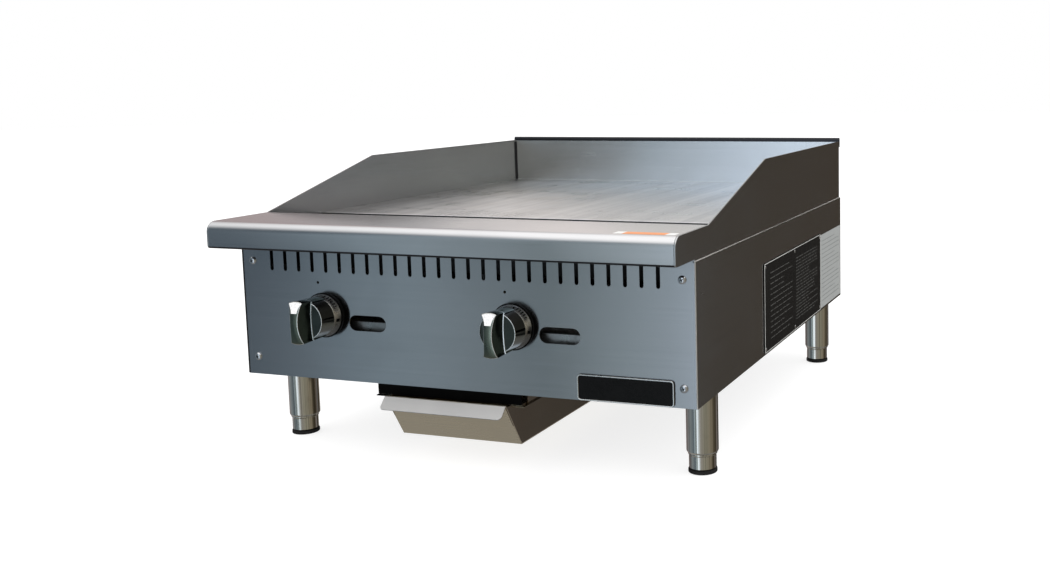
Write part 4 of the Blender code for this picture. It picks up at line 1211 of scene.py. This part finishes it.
def make_side_label(mat):
    """A plain paper label with ruled lines behind the rating plate."""
    low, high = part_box("rating_plate")
    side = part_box("right_side_panel")[1].x
    ys = (high.y + LABEL_GAP, high.y + LABEL_GAP + LABEL_WIDTH)
    zs = (low.z + 0.0005, high.z - 0.0030)
    slab = (rounded_rectangle(ys, zs, 0.0015), at_x, side + 0.00002, side + 0.00022, 0.00005, 1)
    slab_piece("side_label", slab, mat["paper"], CHASSIS)
    bm = bmesh.new()
    start = ys[0] + LABEL_MARGIN
    for i in range(LINES):
        top = zs[1] - LABEL_MARGIN - i * LINE_STEP
        end = ys[1] - (LABEL_MARGIN if i % 4 else 0.042)
        outline = [(start, top), (end, top), (end, top - LINE_WIDTH), (start, top - LINE_WIDTH)]
        add_prism(bm, outline, at_x, side + 0.00015, side + 0.00026)
    finished("side_label_lines", bm, mat["faint"], CHASSIS)


def make_ledge_strip(mat):
    """A plain orange and white strip on the right end of the ledge."""
    low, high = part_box("front_ledge")
    start = low.y + NOSE_RADIUS + 0.001
    outline = rounded_rectangle(STRIP_XS, (start, start + STRIP_DEPTH), 0.001)
    slab = (outline, at_z, high.z + 0.00002, high.z + 0.00018, 0.00005, 1)
    slab_piece("ledge_strip", slab, mat["orange"], CHASSIS)


def make_screws(mat):
    """Pan-head screws whose cross recess is painted dark as shade."""
    for level in ("lower", "upper"):
        for side in SIDES:
            node = f"panel_screw_{level}_{side}"
            low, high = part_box(node)
            radius = (high.x - low.x) / 2
            x, z = (low.x + high.x) / 2, (low.z + high.z) / 2
            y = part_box("front_panel")[0].y
            place = facing_front(x, y, z) @ Matrix.Rotation(SCREW_TURN, 4, "Z")
            height, tip = y - low.y, y - high.y
            profile = [
                (0, tip),
                (0.0018, tip),
                (0.0020, tip + 0.0004),
                (0.0020, 0.0001),
                (radius - 0.0004, 0.0001),
                (radius, 0.0005),
                (radius, 0.0010),
                (radius - 0.0005, 0.0017),
                (radius * 0.70, height - 0.0004),
                (radius * 0.40, height - 0.0001),
                (0, height),
            ]
            bm = bmesh.new()
            add_lathe(bm, profile, place, 48)
            surfaces = [mat["screw"], mat["hem"]]
            screw = finished(f"screw_{level}_{side}", bm, surfaces, CHASSIS, [node])
            cutter = bmesh.new()
            for quarter in (0, 1):
                turn = place @ Matrix.Rotation(quarter * math.pi / 2, 4, "Z")
                rings = []
                for half, h in ((CROSS_NARROW, height - CROSS_DEPTH), (CROSS_WIDE, height + 0.0004)):
                    square = [(half, 1), (-half, 1), (-half, -1), (half, -1)]
                    rings.append([turn @ Vector((u, v * CROSS_THICK, h)) for u, v in square])
                # The recess walls take the near-black painted shade.
                for face in add_loft(cutter, rings):
                    face.material_index = 1
            cut_away(screw, cutter)


def cut_away(piece, cutter):
    """Cuts a bmesh out of a piece and leaves no modifier behind."""
    bmesh.ops.recalc_face_normals(cutter, faces=cutter.faces)
    mesh = bpy.data.meshes.new("cutter")
    cutter.to_mesh(mesh)
    cutter.free()
    tool = bpy.data.objects.new("cutter", mesh)
    bpy.context.scene.collection.objects.link(tool)
    cut = piece.modifiers.new("cut", "BOOLEAN")
    cut.operation = "DIFFERENCE"
    cut.use_self = True
    cut.object = tool
    graph = bpy.context.evaluated_depsgraph_get()
    made = bpy.data.meshes.new_from_object(piece.evaluated_get(graph))
    piece.modifiers.clear()
    old = piece.data
    piece.data = made
    made.name = old.name
    bpy.data.meshes.remove(old)
    bpy.data.objects.remove(tool)
    made.shade_smooth()
    made.set_sharp_from_angle(angle=SMOOTH_ANGLE)


# ---------------------------------------------------------------- carried-over nodes
def dress_nodes(mat):
    """Materials, and rolled edges on sheet metal, for the CAD nodes that stay as they are."""
    plain = {
        "front_panel": ("front", EDGE),
        "left_side_panel": ("side", EDGE),
        "right_side_panel": ("side", EDGE),
        "rear_panel": ("upright", EDGE),
        "grease_trough": ("inner", EDGE / 2),
        "grease_chute": ("upright", None),
        "griddle_plate": ("plate", None),
        "bottom_pan": ("galvanised", EDGE / 2),
        "left_plate_rail": ("galvanised", EDGE),
        "right_plate_rail": ("galvanised", EDGE),
        "burner_support_front": ("galvanised", EDGE),
        "burner_support_rear": ("galvanised", EDGE),
        "tray_rail_left": ("black", EDGE / 2),
        # The right rail wears the drawer side's painted shade.
        "tray_rail_right": ("tray_shaded_side", EDGE / 2),
        "tray_front_bar": ("black", EDGE / 2),
        "gas_manifold": ("pipe", None),
        "gas_inlet_pipe": ("pipe", None),
    }
    for name in SIDES:
        plain[f"burner_{name}"] = ("iron", None)
        plain[f"pilot_burner_{name}"] = ("iron", None)
        plain[f"pilot_tube_{name}"] = ("galvanised", None)
        plain[f"stem_washer_{name}"] = ("galvanised", None)
        for node in ("gas_valve", "orifice", "pilot_valve", "valve_stem"):
            plain[f"{node}_{name}"] = ("brass", None)
    for node, (surface, width) in plain.items():
        dress(node, mat[surface], width)


def main():
    make_camera()
    make_world()
    make_floor()
    make_lights()
    bpy.context.scene.view_settings.view_transform = "Standard"
    mat = make_materials()
    dress_nodes(mat)
    makers = (
        make_ledge,
        make_guards,
        make_panel_edges,
        make_back_guard,
        make_knobs,
        make_bezels,
        make_window_brackets,
        make_legs,
        make_tray,
        make_badge,
        make_rating_plate,
        make_side_label,
        make_ledge_strip,
        make_screws,
    )
    for make in makers:
        make(mat)


main()
